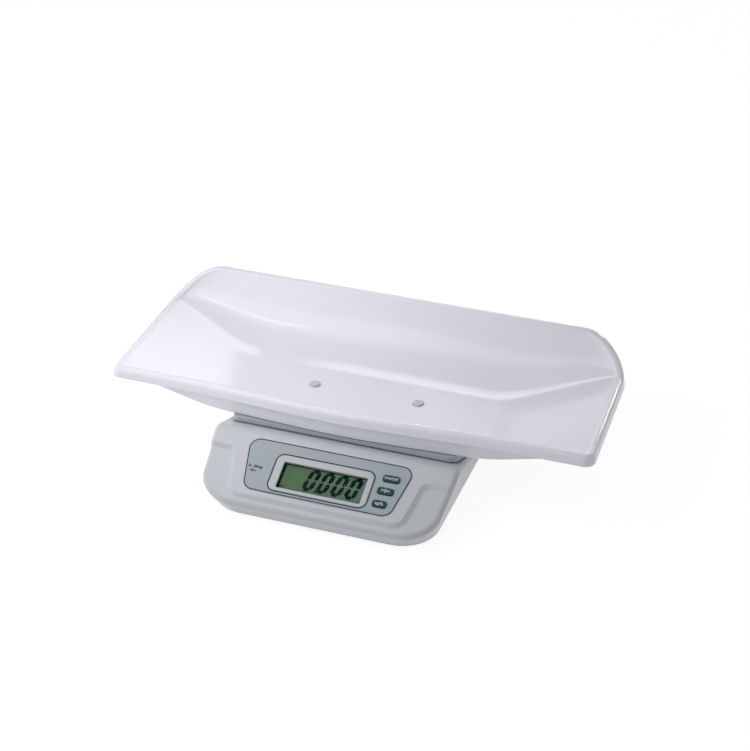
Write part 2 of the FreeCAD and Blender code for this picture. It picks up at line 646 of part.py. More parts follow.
def bottom_cover():
    """Floor of the base: screw pads, foot holes, and the battery bay with the door's grooves."""
    cover = plate(plan(COVER_Z, HOUSING_WALL + SEAT_GAP), COVER_THICK)
    added = []
    for x, y in HOUSING_SCREW_PLACES:
        added.append(rod(x, y, (COVER_TOP_Z - 0.5, CHASSIS_TOP_Z), COVER_PAD_RADIUS))
    outer = BAY_HALF + BAY_WALL
    along = (BAY_FRONT_Y - BAY_WALL, BAY_REAR_Y + BAY_WALL)
    walls = block((-outer, outer), along, (COVER_TOP_Z - 0.5, BAY_CEILING_Z + BAY_WALL))
    rail = DOOR_HALF + DOOR_TONGUE + 2.4
    rails = block((-rail, rail), along, (COVER_TOP_Z - 0.5, COVER_TOP_Z + 1.6))
    cover = cover.fuse(added + [walls, rails])
    removed = [block((-BAY_HALF, BAY_HALF), (BAY_FRONT_Y, BAY_REAR_Y), (0.0, BAY_CEILING_Z))]
    gap = RUN_GAP
    side = DOOR_HALF + gap
    removed.append(block((-side, side), (BAY_FRONT_Y - gap, FAR), (0.0, DOOR_TOP_Z + gap)))
    groove = DOOR_HALF + DOOR_TONGUE + gap
    removed.append(block((-groove, groove), (BAY_FRONT_Y - gap, FAR), GROOVE_Z))
    for x, y in HOUSING_SCREW_PLACES:
        removed.append(rod(x, y, (0.0, CHASSIS_TOP_Z + 1.0), SCREW_RADIUS + 0.2))
        removed.append(rod(x, y, (0.0, COVER_TOP_Z - 0.3), SCREW_HEAD_RADIUS + SEAT_GAP))
    for x, y in FOOT_PLACES:
        removed.append(rod(x, y, (0.0, COVER_TOP_Z + 1.0), FOOT_STEM_RADIUS + THREAD_GAP))
    for x in beam_screw_places(-1):
        removed.append(rod(x, PLATFORM_CENTRE_Y, (0.0, COVER_TOP_Z + 1.0), BEAM_HEAD_RADIUS + 0.6))
    for x, y in chassis_screw_places():
        removed.append(rod(x, y, (COVER_Z + 0.3, COVER_TOP_Z + 1.0), SCREW_RADIUS + THREAD_GAP))
    return cover.cut(removed)


def foot(i):
    """Rubber foot: a disc with a softened edge and a peg held in the cover."""
    x, y = FOOT_PLACES[i]
    disc = rod(x, y, (0.0, COVER_Z), FOOT_RADIUS)
    disc = disc.makeFillet(1.0, [e for e in disc.Edges if e.BoundBox.ZMax < 0.01])
    return disc.fuse(rod(x, y, (COVER_Z, COVER_TOP_Z), FOOT_STEM_RADIUS))


def housing_screws():
    """Six self-tapping screws, from under the cover into the housing's bosses."""
    seat = COVER_TOP_Z - 0.3
    screws = []
    for x, y in HOUSING_SCREW_PLACES:
        head = rod(x, y, (seat - SCREW_HEAD_HEIGHT, seat), SCREW_HEAD_RADIUS)
        screws.append(head.fuse(rod(x, y, (seat, seat + HOUSING_SCREW_LENGTH), SCREW_RADIUS)))
    return Part.makeCompound(screws)


def battery_door():
    """Door under the cells; its side tongues run in the cover's grooves and it slides off backwards."""
    rear = FOOTPRINT_REAR_Y
    door = block((-DOOR_HALF, DOOR_HALF), (BAY_FRONT_Y, rear), (COVER_Z, DOOR_TOP_Z))
    wide = DOOR_HALF + DOOR_TONGUE
    low = GROOVE_Z[0] + RUN_GAP
    tongue = block((-wide, wide), (BAY_FRONT_Y, BAY_REAR_Y), (low, low + DOOR_TONGUE_THICK))
    door = door.fuse(tongue)
    half = DOOR_GRIP_SIZE[0] / 2
    grips = []
    for i in range(DOOR_GRIP_COUNT):
        y = BAY_REAR_Y - i * DOOR_GRIP_PITCH
        grips.append(block((-half, half), (y - DOOR_GRIP_SIZE[1], y), (0.0, COVER_Z + 0.6)))
    return door.cut(grips)


def cell(i):
    """An AA cell; neighbours lie opposite ways."""
    x = (i - (CELL_COUNT - 1) / 2) * AA_PITCH
    start = BAY_FRONT_Y + CONTACT_ROOM
    forward = i % 2 == 0
    axis = Vector(0, 1, 0)
    body_y = start if forward else start + AA_NUB_HEIGHT
    nub_y = start + AA_LENGTH if forward else start
    can = Part.makeCylinder(AA_RADIUS, AA_LENGTH, Vector(x, body_y, CELL_AXIS_Z), axis)
    can = can.makeFillet(0.6, [e for e in can.Edges if abs(e.BoundBox.YLength) < 0.01])
    return can.fuse(Part.makeCylinder(AA_NUB_RADIUS, AA_NUB_HEIGHT, Vector(x, nub_y, CELL_AXIS_Z), axis))


def battery_contacts():
    """Stamped contact strips at both ends of the bay: a plate behind each cell with a folded leaf on it."""
    strips = []
    for i in range(CELL_COUNT):
        x = (i - (CELL_COUNT - 1) / 2) * AA_PITCH
        for end in (0, 1):
            wall = BAY_FRONT_Y if end == 0 else BAY_REAR_Y
            way = 1 if end == 0 else -1
            back = wall + way * CONTACT_THICK
            front = wall + way * CONTACT_ROOM
            half = CONTACT_WIDTH / 2
            z = CELL_AXIS_Z
            strips.append(block((x - half, x + half), sorted((wall, back)), (z - half, z + half)))
            side = x - LEAF_WIDTH / 2
            a = Vector(side, back, z - LEAF_HEIGHT / 2)
            b = Vector(side, front - way * CONTACT_THICK, z)
            c = Vector(side, back, z + LEAF_HEIGHT / 2)
            d = Vector(side, front, z)
            lift = Vector(0, 0, LEAF_FOOT)
            leaf = Part.Face(Part.makePolygon([a, b, c, c + lift, d, a - lift, a]))
            strips.append(leaf.extrude(Vector(LEAF_WIDTH, 0, 0)))
    return Part.makeCompound(strips)


# --- Load cell and its stack ------------------------------------------------------------------------------
def beam_screw_places(side):
    """Where the two screws of one end of the load cell stand, along X."""
    return [side * BEAM_SCREW_X - BEAM_SCREW_PITCH / 2, side * BEAM_SCREW_X + BEAM_SCREW_PITCH / 2]


def chassis_screw_places():
    """The four corners where the chassis plate is screwed to the cover."""
    x = CHASSIS_LENGTH / 2 - CHASSIS_SCREW_INSET
    y = CHASSIS_DEPTH / 2 - CHASSIS_SCREW_INSET
    return [(sx * x, PLATFORM_CENTRE_Y + sy * y) for sx in (-1, 1) for sy in (-1, 1)]


def chassis_plate():
    """Steel plate that spreads the load cell's fixed end over the cover."""
    y = PLATFORM_CENTRE_Y
    sheet = plate(rectangle(CHASSIS_LENGTH, CHASSIS_DEPTH, 5.0, 0, y, COVER_TOP_Z), CHASSIS_THICK)
    holes = [rod(x, y, (0.0, FAR), BEAM_SCREW_RADIUS + 0.3) for x in beam_screw_places(-1)]
    holes += [rod(x, hy, (0.0, FAR), SCREW_RADIUS + 0.2) for x, hy in chassis_screw_places()]
    holes.append(rod(STOP_X, y, (0.0, FAR), STOP_RADIUS + THREAD_GAP))
    return sheet.cut(holes)


def chassis_screws():
    """Four screws down through the chassis plate into the cover."""
    screws = []
    for x, y in chassis_screw_places():
        head = rod(x, y, (CHASSIS_TOP_Z, CHASSIS_TOP_Z + SCREW_HEAD_HEIGHT), SCREW_HEAD_RADIUS)
        screws.append(head.fuse(rod(x, y, (COVER_Z + 0.5, CHASSIS_TOP_Z), SCREW_RADIUS)))
    return Part.makeCompound(screws)


def spacer(side, low, high):
    """A block between the load cell and the plate above or below it."""
    x = side * BEAM_SCREW_X
    y = PLATFORM_CENTRE_Y
    half = SPACER_LENGTH / 2
    body = block((x - half, x + half), (y - BEAM_WIDTH / 2, y + BEAM_WIDTH / 2), (low, high))
    return body.cut([rod(hx, y, (0.0, FAR), BEAM_SCREW_RADIUS + 0.3) for hx in beam_screw_places(side)])


def load_cell():
    """Aluminium bending beam with a two-lobed hole through its middle."""
    y = PLATFORM_CENTRE_Y
    half = BEAM_LENGTH / 2
    body = block((-half, half), (y - BEAM_WIDTH / 2, y + BEAM_WIDTH / 2), (BEAM_Z, BEAM_TOP_Z))
    middle = (BEAM_Z + BEAM_TOP_Z) / 2
    way = Vector(0, 1, 0)
    holes = []
    for sign in (-1, 1):
        start = Vector(sign * BEAM_BORE_PITCH / 2, y - BEAM_WIDTH, middle)
        holes.append(Part.makeCylinder(BEAM_BORE_RADIUS, 2 * BEAM_WIDTH, start, way))
    reach = BEAM_BORE_PITCH / 2
    holes.append(block((-reach, reach), (y - BEAM_WIDTH, y + BEAM_WIDTH), (middle - 3.0, middle + 3.0)))
    bore = BEAM_SCREW_RADIUS + THREAD_GAP
    holes += [rod(x, y, (BEAM_Z - 1.0, BEAM_Z + BEAM_SCREW_BITE + 1.0), bore) for x in beam_screw_places(-1)]
    holes += [rod(x, y, (BEAM_TOP_Z - BEAM_SCREW_BITE - 1.0, FAR), bore) for x in beam_screw_places(1)]
    return body.cut(holes)


def gauge_potting():
    """Silicone over the strain gauges and their wires, on the front of the load cell."""
    half = POTTING_LENGTH / 2
    face = PLATFORM_CENTRE_Y - BEAM_WIDTH / 2
    middle = (BEAM_Z + BEAM_TOP_Z) / 2
    z = (middle - POTTING_HEIGHT / 2, middle + POTTING_HEIGHT / 2)
    pad = block((-half, half), (face - POTTING_THICK, face), z)
    return pad.makeFillet(1.2, [e for e in pad.Edges if e.BoundBox.YMax < face - POTTING_THICK + 0.01])


def lower_cell_screws():
    """Two screws up through the chassis and the spacer into the fixed end."""
    screws = []
    for x in beam_screw_places(-1):
        head = rod(x, PLATFORM_CENTRE_Y, (COVER_TOP_Z - BEAM_HEAD_HEIGHT, COVER_TOP_Z), BEAM_HEAD_RADIUS)
        tip = BEAM_Z + BEAM_SCREW_BITE
        screws.append(head.fuse(rod(x, PLATFORM_CENTRE_Y, (COVER_TOP_Z, tip), BEAM_SCREW_RADIUS)))
    return Part.makeCompound(screws)


def upper_cell_screws():
    """Two screws down through the spider plate and the spacer into the free end."""
    screws = []
    for x in beam_screw_places(1):
        head = rod(x, PLATFORM_CENTRE_Y, (SPIDER_TOP_Z, SPIDER_TOP_Z + BEAM_HEAD_HEIGHT), BEAM_HEAD_RADIUS)
        low = BEAM_TOP_Z - BEAM_SCREW_BITE
        screws.append(head.fuse(rod(x, PLATFORM_CENTRE_Y, (low, SPIDER_TOP_Z), BEAM_SCREW_RADIUS)))
    return Part.makeCompound(screws)


def overload_screw():
    """Set screw under the free end: the beam comes down on it at the full travel."""
    return rod(STOP_X, PLATFORM_CENTRE_Y, (COVER_TOP_Z + 0.2, BEAM_Z - OVERLOAD_GAP), STOP_RADIUS)


def overload_nut():
    """Lock nut of the overload screw."""
    z = (CHASSIS_TOP_Z, CHASSIS_TOP_Z + STOP_NUT_HEIGHT)
    return hexagon(STOP_X, PLATFORM_CENTRE_Y, z, STOP_NUT_ACROSS, STOP_RADIUS + THREAD_GAP)


def lead_path():
    """The load cell's lead as a wire of straight runs and tangent arcs."""
    face = PLATFORM_CENTRE_Y - BEAM_WIDTH / 2 - POTTING_THICK
    potting = Vector(-POTTING_LENGTH * 0.15, face - LEAD_START_GAP, (BEAM_Z + BEAM_TOP_Z) / 2)
    plug = PANEL.multVec(Vector(PLUG_PLACE[0], PLUG_PLACE[1], BOARD_N - BOARD_THICK - PLUG_SIZE[2]))
    under = PANEL.Rotation.multVec(Vector(0, 0, -1)) * LEAD_DROP
    points = [potting, Vector(*LEAD_LOW_POINT), plug + under, plug]
    edges = []
    last = points[0]
    for i in (1, 2):
        here = points[i]
        back = points[i - 1] - here
        on = points[i + 1] - here
        turn = math.pi - back.getAngle(on)
        reach = 0.45 * min(back.Length, on.Length)
        radius = reach / math.tan(turn / 2)
        start = here + back.normalize() * reach
        stop = here + on.normalize() * reach
        middle = (back + on).normalize()
        top = here + middle * (radius / math.cos(turn / 2) - radius)
        edges.append(Part.makeLine(last, start))
        edges.append(Part.Arc(start, top, stop).toShape())
        last = stop
    edges.append(Part.makeLine(last, points[3]))
    return Part.Wire(edges)


def load_cell_lead():
    """Round cable from the load cell to the board."""
    path = lead_path()
    first = path.Edges[0]
    start = first.valueAt(first.FirstParameter)
    way = first.tangentAt(first.FirstParameter)
    profile = Part.Wire(Part.makeCircle(LEAD_RADIUS, start, way))
    return path.makePipeShell([profile], True, True)


def lead_plug():
    """White plug and its socket under the board."""
    u, v = PLUG_PLACE
    width, depth, height = PLUG_SIZE
    top = BOARD_N - BOARD_THICK
    across = (u - width / 2, u + width / 2)
    return on_panel(block(across, (v - depth / 2, v + depth / 2), (top - height, top)))


# --- Platform ---------------------------------------------------------------------------------------------
def cover_screw_places():
    """The four corners where the platform's cover is screwed to the spider."""
    x = SPIDER_LENGTH / 2 - SPIDER_ARM / 2
    y = SPIDER_DEPTH / 2 - SPIDER_ARM / 2
    return [(sx * x, PLATFORM_CENTRE_Y + sy * y) for sx in (-1, 1) for sy in (-1, 1)]


def spider_plate():
    """Aluminium H-shaped plate on the load cell's free end."""
    y = PLATFORM_CENTRE_Y
    x = SPIDER_LENGTH / 2
    sheet = plate(rectangle(SPIDER_LENGTH - 4.0, SPIDER_WEB, 3.0, 0, y, SPIDER_Z), SPIDER_THICK)
    for sign in (-1, 1):
        arm = rectangle(SPIDER_ARM, SPIDER_DEPTH, 8.0, sign * (x - SPIDER_ARM / 2), y, SPIDER_Z)
        sheet = sheet.fuse(plate(arm, SPIDER_THICK))
    holes = [rod(hx, y, (0.0, FAR), BEAM_SCREW_RADIUS + 0.3) for hx in beam_screw_places(1)]
    holes += [rod(hx, hy, (0.0, FAR), SCREW_RADIUS + 0.2) for hx, hy in cover_screw_places()]
    return sheet.removeSplitter().cut(holes)


def cover_screws():
    """Four screws up through the spider into the cover's bosses."""
    screws = []
    for x, y in cover_screw_places():
        head = rod(x, y, (SPIDER_Z - SCREW_HEAD_HEIGHT, SPIDER_Z), SCREW_HEAD_RADIUS)
        screws.append(head.fuse(rod(x, y, (SPIDER_Z, SPIDER_Z + COVER_SCREW_LENGTH), SCREW_RADIUS)))
    return Part.makeCompound(screws)


def platform_form(inset):
    """The platform cover's outside, or its inside when drawn in by a wall."""
    middle = (PLATFORM_FRONT_Y + PLATFORM_REAR_Y) / 2
    depth = PLATFORM_REAR_Y - PLATFORM_FRONT_Y - 2 * inset
    radius = PLATFORM_RADIUS - inset
    top = rectangle(PLATFORM_TOP_WIDTH - 2 * inset, depth, radius, 0, middle, PLATFORM_Z - inset)
    rear = PLATFORM_REAR_FLARE
    low = rectangle(PLATFORM_SKIRT_WIDTH - 2 * inset, depth + rear, radius, 0, middle + rear / 2, WELL_DECK_Z)
    return Part.makeLoft([low, top], True, True)


def platform_cover():
    """Grey moulded cover on ribs and bosses; its skirt follows the housing's back slope with a clear gap."""
    shell = platform_form(0.0).cut(platform_form(PLATFORM_WALL))
    added = [rod(x, y, (SPIDER_TOP_Z, PLATFORM_UNDER_Z), BOSS_RADIUS) for x, y in cover_screw_places()]
    reach = PLATFORM_TOP_WIDTH / 2 - PLATFORM_WALL
    along = (PLATFORM_FRONT_Y + PLATFORM_WALL, PLATFORM_REAR_Y - PLATFORM_WALL)
    z = (PLATFORM_UNDER_Z - PLATFORM_RIB, PLATFORM_UNDER_Z)
    for x, y in cover_screw_places()[:2]:
        added.append(block((-reach, reach), (y - 1.0, y + 1.0), z))
    for x, y in cover_screw_places()[::2]:
        added.append(block((x - 1.0, x + 1.0), along, z))
    shell = shell.fuse(added).cut(side_profile(-PLATFORM_GAP))
    holes = []
    tip = SPIDER_Z + COVER_SCREW_LENGTH + 0.5
    for x, y in cover_screw_places():
        holes.append(rod(x, y, (SPIDER_TOP_Z - 1.0, tip), SCREW_RADIUS + THREAD_GAP))
    for sign in (-1, 1):
        z = (PLATFORM_UNDER_Z - 1.0, FAR)
        holes.append(rod(sign * STUD_X, PLATFORM_CENTRE_Y, z, STUD_SHANK_RADIUS + THREAD_GAP))
    return shell.cut(holes)


def tray_stud(side):
    """Domed stud pressed into the platform; the tray's hole drops over it."""
    x = side * STUD_X
    y = PLATFORM_CENTRE_Y
    top = TRAY_FLOOR_Z + STUD_DOME
    head = rod(x, y, (PLATFORM_Z, top), STUD_RADIUS)
    head = head.makeFillet(STUD_DOME - 0.2, [e for e in head.Edges if e.BoundBox.ZMin > top - 0.01])
    return head.fuse(rod(x, y, (PLATFORM_UNDER_Z - 1.2, PLATFORM_Z), STUD_SHANK_RADIUS))


# --- Tray -------------------------------------------------------------------------------------------------
BACK_FROM_X = TRAY_LENGTH / 2 - BACK_CORNER_X
BACK_FROM_Y = TRAY_BACK_Y - BACK_CORNER_Y
FLOOR_HALF = TRAY_FLOOR_LENGTH / 2
RAMP_LENGTH = TRAY_LENGTH / 2 - RIM_WIDTH - FLOOR_HALF


def rim_point(t):
    """The rim's outer line round a back corner: t is 0 at the end and 90 degrees at the back."""
    s = math.sin(t)
    x = BACK_FROM_X + BACK_CORNER_X * math.cos(t)
    return Vector(x, BACK_FROM_Y + BACK_CORNER_Y * s, RIM_Z + TRAY_BACK_RISE * s ** BACK_RISE_POWER)


def rim_inside(t, s):
    """A point a distance s inside the rim's outer line, level with it."""
    n = Vector(math.cos(t) / BACK_CORNER_X, math.sin(t) / BACK_CORNER_Y, 0).normalize()
    return rim_point(t) - n * s


def front_set_back(x):
    """How far the front has fallen back at a station x: nothing at the middle, level again near the ends."""
    share = min(1.0, x / (FRONT_BOW_SHARE * TRAY_LENGTH / 2))
    return FRONT_BOW * share ** 2 * (3.0 - 2.0 * share)


def front_line(x, s):
    """Y of a line a distance s inside the front rim, round its corner."""
    centre = TRAY_LENGTH / 2 - FRONT_CORNER_RADIUS
    front = TRAY_FRONT_Y + front_set_back(x)
    if x <= centre:
        return front + s
    radius = FRONT_CORNER_RADIUS - s
    return front + FRONT_CORNER_RADIUS - math.sqrt(max(0.0, radius ** 2 - (x - centre) ** 2))


def ramp_rise(x):
    """How far up its ramp the floor is at a station x: 0 over the middle, 1 under the end of the rim."""
    share = min(1.0, max(0.0, (x - FLOOR_HALF) / RAMP_LENGTH))
    knee = RAMP_SOFT / 2
    if share < RAMP_SOFT:
        return share ** 2 / (4 * knee * (1.0 - knee))
    return (share - knee) / (1.0 - knee)


def tray_section(top):
    """The tray's wall cut across at a station; top is where the back wall's inner face reaches the rim."""
    x = top.x
    share = ramp_rise(x)
    floor = TRAY_FLOOR_Z + (TRAY_WELL_DEPTH + RAMP_TOP) * share
    foot_y = min(TRAY_FOOT_Y + (TRAY_FOOT_END_Y - TRAY_FOOT_Y) * share, top.y - 6.0)
    depth = RIM_Z - floor
    head_z = top.z - 1.0
    rise = head_z - floor
    run = top.y - foot_y
    steep = Vector(0, math.cos(math.radians(75)), math.sin(math.radians(75)))
    front_out = front_line(x, RIM_THICK - RIM_FLARE - 0.3)
    front_in = front_line(x, RIM_WIDTH - 1.0)
    fillet = max(0.1, min(FRONT_FILLET, 0.8 * depth))
    under = max(0.3, min(UNDER_FILLET, 0.8 * depth))
    low = floor - TRAY_WALL
    front_top = max(RIM_Z - 1.5, floor + fillet + 0.05)

    def at(y, z):
        return Vector(x, y, z)

    def curve(*poles):
        bezier = Part.BezierCurve()
        bezier.setPoles(list(poles))
        return bezier.toShape()

    # inner face: front wall, floor, back wall
    a = at(front_in, front_top)
    b = at(front_in, floor + fillet)
    c = at(front_in + fillet, floor)
    d = at(foot_y, floor)
    e = at(top.y, head_z)
    inner_low = at(foot_y + 0.55 * run, floor)
    inner_high = e - steep * (0.5 * rise)
    # outer face, a wall below
    f = at(top.y + WALL_TOP_THICK, head_z)
    shift = TRAY_WALL * 0.85
    g = at(foot_y + shift * 0.3, low)
    outer_low = at(foot_y + 0.55 * run + shift * 0.7, low)
    outer_high = f - steep * (0.5 * (head_z - low))
    h = at(front_out + 1.0 + under, low)
    i = at(front_out + 0.6, low + under)
    j = at(front_out, front_top)
    k = 0.55
    edges = [
        Part.makeLine(a, b),
        curve(b, b + Vector(0, 0, -k * fillet), c + Vector(0, -k * fillet, 0), c),
        Part.makeLine(c, d),
        curve(d, inner_low, inner_high, e),
        Part.makeLine(e, f),
        curve(f, outer_high, outer_low, g),
        Part.makeLine(g, h),
        curve(h, h + Vector(0, -k * under, 0), i + Vector(0, 0, -k * under), i),
        Part.makeLine(i, j),
        Part.makeLine(j, a),
    ]
    return Part.Wire(edges)


def rim_section(origin, inward):
    """The rolled rim cut across at a point of its outer line: a flared lip, a round crown, an inner edge."""
    def at(s, up):
        return origin + inward * s + Vector(0, 0, up)

    crown = at(RIM_CROWN_S, RIM_CROWN)
    edge = at(RIM_WIDTH, -RIM_UNDER + 1.0)
    arch = Part.BezierCurve()
    arch.setPoles([at(0.0, -4.5), at(0.5, -1.2), at(1.8, RIM_CROWN - 0.2), crown])
    inner = Part.BezierCurve()
    inner.setPoles([crown, at(7.6, RIM_CROWN + 0.1), at(RIM_WIDTH, RIM_CROWN - 0.9), edge])
    lip = RIM_THICK - RIM_FLARE
    return Part.Wire([
        Part.makeLine(at(-RIM_FLARE, -RIM_DROP), at(0.0, -4.5)),
        arch.toShape(),
        inner.toShape(),
        Part.makeLine(edge, at(RIM_WIDTH - 1.2, -RIM_UNDER)),
        Part.makeLine(at(RIM_WIDTH - 1.2, -RIM_UNDER), at(RIM_THICK, -RIM_UNDER)),
        Part.makeLine(at(RIM_THICK, -RIM_UNDER), at(lip, -RIM_DROP)),
        Part.makeLine(at(lip, -RIM_DROP), at(-RIM_FLARE, -RIM_DROP)),
    ])


def long_stations():
    """Stations along the tray's straight back: over the floor, round the foot of the ramp and up the ramp."""
    floor = [FLOOR_HALF * i / FLOOR_STEPS for i in range(FLOOR_STEPS + 1)]
    soft = RAMP_SOFT * RAMP_LENGTH
    foot = [FLOOR_HALF + soft * i / RAMP_SOFT_STEPS for i in range(1, RAMP_SOFT_STEPS + 1)]
    return floor + foot + [(foot[-1] + BACK_FROM_X) / 2, BACK_FROM_X]


def half_rim():
    """The right half of the rim, from the middle of the front round to the middle of the back."""
    half = TRAY_LENGTH / 2
    r = FRONT_CORNER_RADIUS
    y = TRAY_FRONT_Y + FRONT_BOW
    sections = []
    for x in long_stations():
        sections.append(rim_section(Vector(x, TRAY_FRONT_Y + front_set_back(x), RIM_Z), Vector(0, 1, 0)))
    for i in range(6):
        a = math.radians(18 * i)
        outer = Vector(half - r + r * math.sin(a), y + r - r * math.cos(a), RIM_Z)
        sections.append(rim_section(outer, Vector(-math.sin(a), math.cos(a), 0)))
    for i in range(15):
        t = math.radians(90 * i / 14)
        inward = (rim_inside(t, 1.0) - rim_point(t)).normalize()
        sections.append(rim_section(rim_point(t), inward))
    sections.append(rim_section(Vector(0, TRAY_BACK_Y, RIM_Z + TRAY_BACK_RISE), Vector(0, -1, 0)))
    return Part.makeLoft(sections, True, True)


def tray():
    """White moulded tray: flat floor, ramped ends, high curved back and a rolled rim."""
    head = Vector(0, TRAY_BACK_Y - WALL_SEAT, RIM_Z + TRAY_BACK_RISE)
    along = [tray_section(head + Vector(x, 0, 0)) for x in long_stations()]
    turn = [rim_inside(math.radians(t), WALL_SEAT) for t in CORNER_STATIONS]
    # the last two stations close the ramp under the end of the rim
    turn += [rim_inside(math.radians(14), 0.9 * WALL_SEAT), rim_inside(math.radians(12), 0.65 * WALL_SEAT)]
    lofts = [Part.makeLoft(along[:FLOOR_STEPS + 1], True, True)]
    lofts.append(Part.makeLoft(along[FLOOR_STEPS:], True, True))
    lofts.append(Part.makeLoft([tray_section(top) for top in turn], True, True))
    right = half_rim().fuse(lofts)
    body = right.fuse(right.mirror(Vector(0, 0, 0), Vector(1, 0, 0))).removeSplitter()
    holes = [rod(s * STUD_X, PLATFORM_CENTRE_Y, (0.0, FAR), STUD_RADIUS + RUN_GAP) for s in (-1, 1)]
    return body.cut(holes)


# --- All pieces -------------------------------------------------------------------------------------------
def pieces():
    """Every piece by its name, where it stands in the whole."""
    found = {
        "tray": tray(),
        "stud_left": tray_stud(-1),
        "stud_right": tray_stud(1),
        "platform_cover": platform_cover(),
        "cover_screws": cover_screws(),
        "spider_plate": spider_plate(),
        "upper_cell_screws": upper_cell_screws(),
        "upper_spacer": spacer(1, BEAM_TOP_Z, SPIDER_Z),
        "load_cell": load_cell(),
        "gauge_potting": gauge_potting(),
        "lower_spacer": spacer(-1, CHASSIS_TOP_Z, BEAM_Z),
        "lower_cell_screws": lower_cell_screws(),
        "chassis_plate": chassis_plate(),
        "chassis_screws": chassis_screws(),
        "overload_screw": overload_screw(),
        "overload_nut": overload_nut(),
        "load_cell_lead": load_cell_lead(),
        "lead_plug": lead_plug(),
        "top_housing": top_housing(),
        "bottom_cover": bottom_cover(),
        "housing_screws": housing_screws(),
        "control_label": control_label(),
        "window_frame": window_frame(),
        "display_lens": display_lens(),
        "lcd_glass": lcd_glass(),
        "lcd_holder": lcd_holder(),
        "contact_strips": contact_strips(),
        "main_board": main_board(),
        "board_screws": board_screws(),
        "board_chips": board_chips(),
        "buzzer": buzzer(),
        "battery_contacts": battery_contacts(),
        "battery_door": battery_door(),
    }
    for i in range(3):
        found["key_%d" % (i + 1)] = key(i)
        found["switch_%d" % (i + 1)] = switch_body(i)
        found["plunger_%d" % (i + 1)] = switch_plunger(i)
    for i, place in enumerate(("front_left", "front_right", "rear_left", "rear_right")):
        found["foot_" + place] = foot(i)
    for i in range(CELL_COUNT):
        found["battery_%d" % (i + 1)] = cell(i)
    return found


os.makedirs("parts", exist_ok=True)
for name, shape in pieces().items():
    state = "valid" if shape.isValid() else "NOT VALID"
    print(name, state, len(shape.Solids), "solids", len(shape.Faces), "faces")
    shape.exportStep("parts/" + name + ".step")
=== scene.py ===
import bpy
import bmesh
import math
from mathutils import Euler, Matrix, Vector


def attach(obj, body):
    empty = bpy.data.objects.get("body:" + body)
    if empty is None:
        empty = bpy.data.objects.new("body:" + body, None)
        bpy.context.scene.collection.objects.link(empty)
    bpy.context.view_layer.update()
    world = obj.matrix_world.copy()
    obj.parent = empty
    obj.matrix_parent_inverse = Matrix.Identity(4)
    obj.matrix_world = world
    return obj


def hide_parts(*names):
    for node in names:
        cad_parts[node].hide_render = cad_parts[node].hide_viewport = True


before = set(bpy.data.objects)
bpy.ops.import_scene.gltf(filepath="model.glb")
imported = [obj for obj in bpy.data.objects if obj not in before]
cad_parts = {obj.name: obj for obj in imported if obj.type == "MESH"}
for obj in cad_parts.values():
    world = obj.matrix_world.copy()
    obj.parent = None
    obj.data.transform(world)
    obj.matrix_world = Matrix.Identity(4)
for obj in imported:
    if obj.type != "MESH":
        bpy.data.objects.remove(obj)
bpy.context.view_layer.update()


# --- Room, lamps and camera ---------------------------------------------------------------------------------
# A pale table top and a bright backdrop, with even light from all round. A key lamp over the front left and a
# large low lamp on the left light the scale and aren't mirrored in it. The other lamps are only mirrored: a
# window and soft bands from behind, a patch from above, strips on the rim and right end, and a small spot.

TABLE_HALF = 3.0
TABLE_COLOUR = (0.93, 0.93, 0.94, 1.0)
TABLE_GLOW = 1.25
TABLE_GLOW_SHARE = 0.7         # the rest of what is seen of the table is lit, so that it takes a faint shadow
BACKDROP_WHITE = (1.0, 1.0, 1.0, 1.0)
ROOM_COLOUR = (0.97, 0.98, 1.0, 1.0)
ROOM_STRENGTH = 0.415
CORNERS = ((-1, -1), (1, -1), (1, 1), (-1, 1))
SCALE_AIM = (0, 0.03, 0.06)
LEFT_RAMP_AIM = (-0.2, 0.03, 0.08)
RIGHT_END_AIM = (0.27, 0.05, 0.09)
RIM_AIM = (0.19, -0.04, 0.09)
BACK_WALL_AIM = (-0.133, 0.116, 0.083)
LIGHTING_LAMPS = {             # name: place, what it faces, size, power
    "lamp_key": ((-0.211, -0.118, 0.429), SCALE_AIM, (0.3, 0.3), 0.76),
    "lamp_low": ((-1.666, -0.576, 0.373), SCALE_AIM, (0.8, 0.8), 9.0),
}
MIRRORED_LAMPS = {
    "gleam_front": ((-0.50, -0.50, 1.473), SCALE_AIM, (0.8, 0.8), 1.9),
    "gleam_back": ((0.0, 1.341, 0.978), SCALE_AIM, (0.7, 0.5), 0.6),
    "gleam_back_left": ((-0.448, 1.262, 0.978), SCALE_AIM, (0.45, 0.45), 0.1),
    "gleam_back_low": ((-0.514, 1.443, 0.607), SCALE_AIM, (0.45, 0.45), 0.42),
    "gleam_window": ((-0.46, 1.6, 1.68), LEFT_RAMP_AIM, (0.6, 0.6), 2.5),
    "gleam_side": ((0.58, 1.132, 0.74), RIGHT_END_AIM, (0.12, 0.2), 2.3),
    "gleam_rim": ((-0.05, 1.2, 0.385), RIM_AIM, (0.4, 0.05), 0.5),
    "gleam_spot": ((-0.55, -0.21, 1.27), BACK_WALL_AIM, (0.08, 0.08), 0.09),
}
CAMERA_PLACE = (0.5049, -1.45045, 1.09657)
CAMERA_AZIMUTH = 18.47
CAMERA_ELEVATION = 32.75
CAMERA_ROLL = 0.17
CAMERA_LENS = 80.33
CAMERA_SENSOR = 36.0


class Socket:
    """A shader socket that takes part in ordinary arithmetic."""

    def __init__(self, tree, link):
        self.tree = tree
        self.link = link

    def math(self, operation, *values):
        return self.tree.node("ShaderNodeMath", {"operation": operation}, *values)

    def __add__(self, other):
        return self.math("ADD", self, other)

    def __mul__(self, other):
        return self.math("MULTIPLY", self, other)

    __radd__ = __add__
    __rmul__ = __mul__


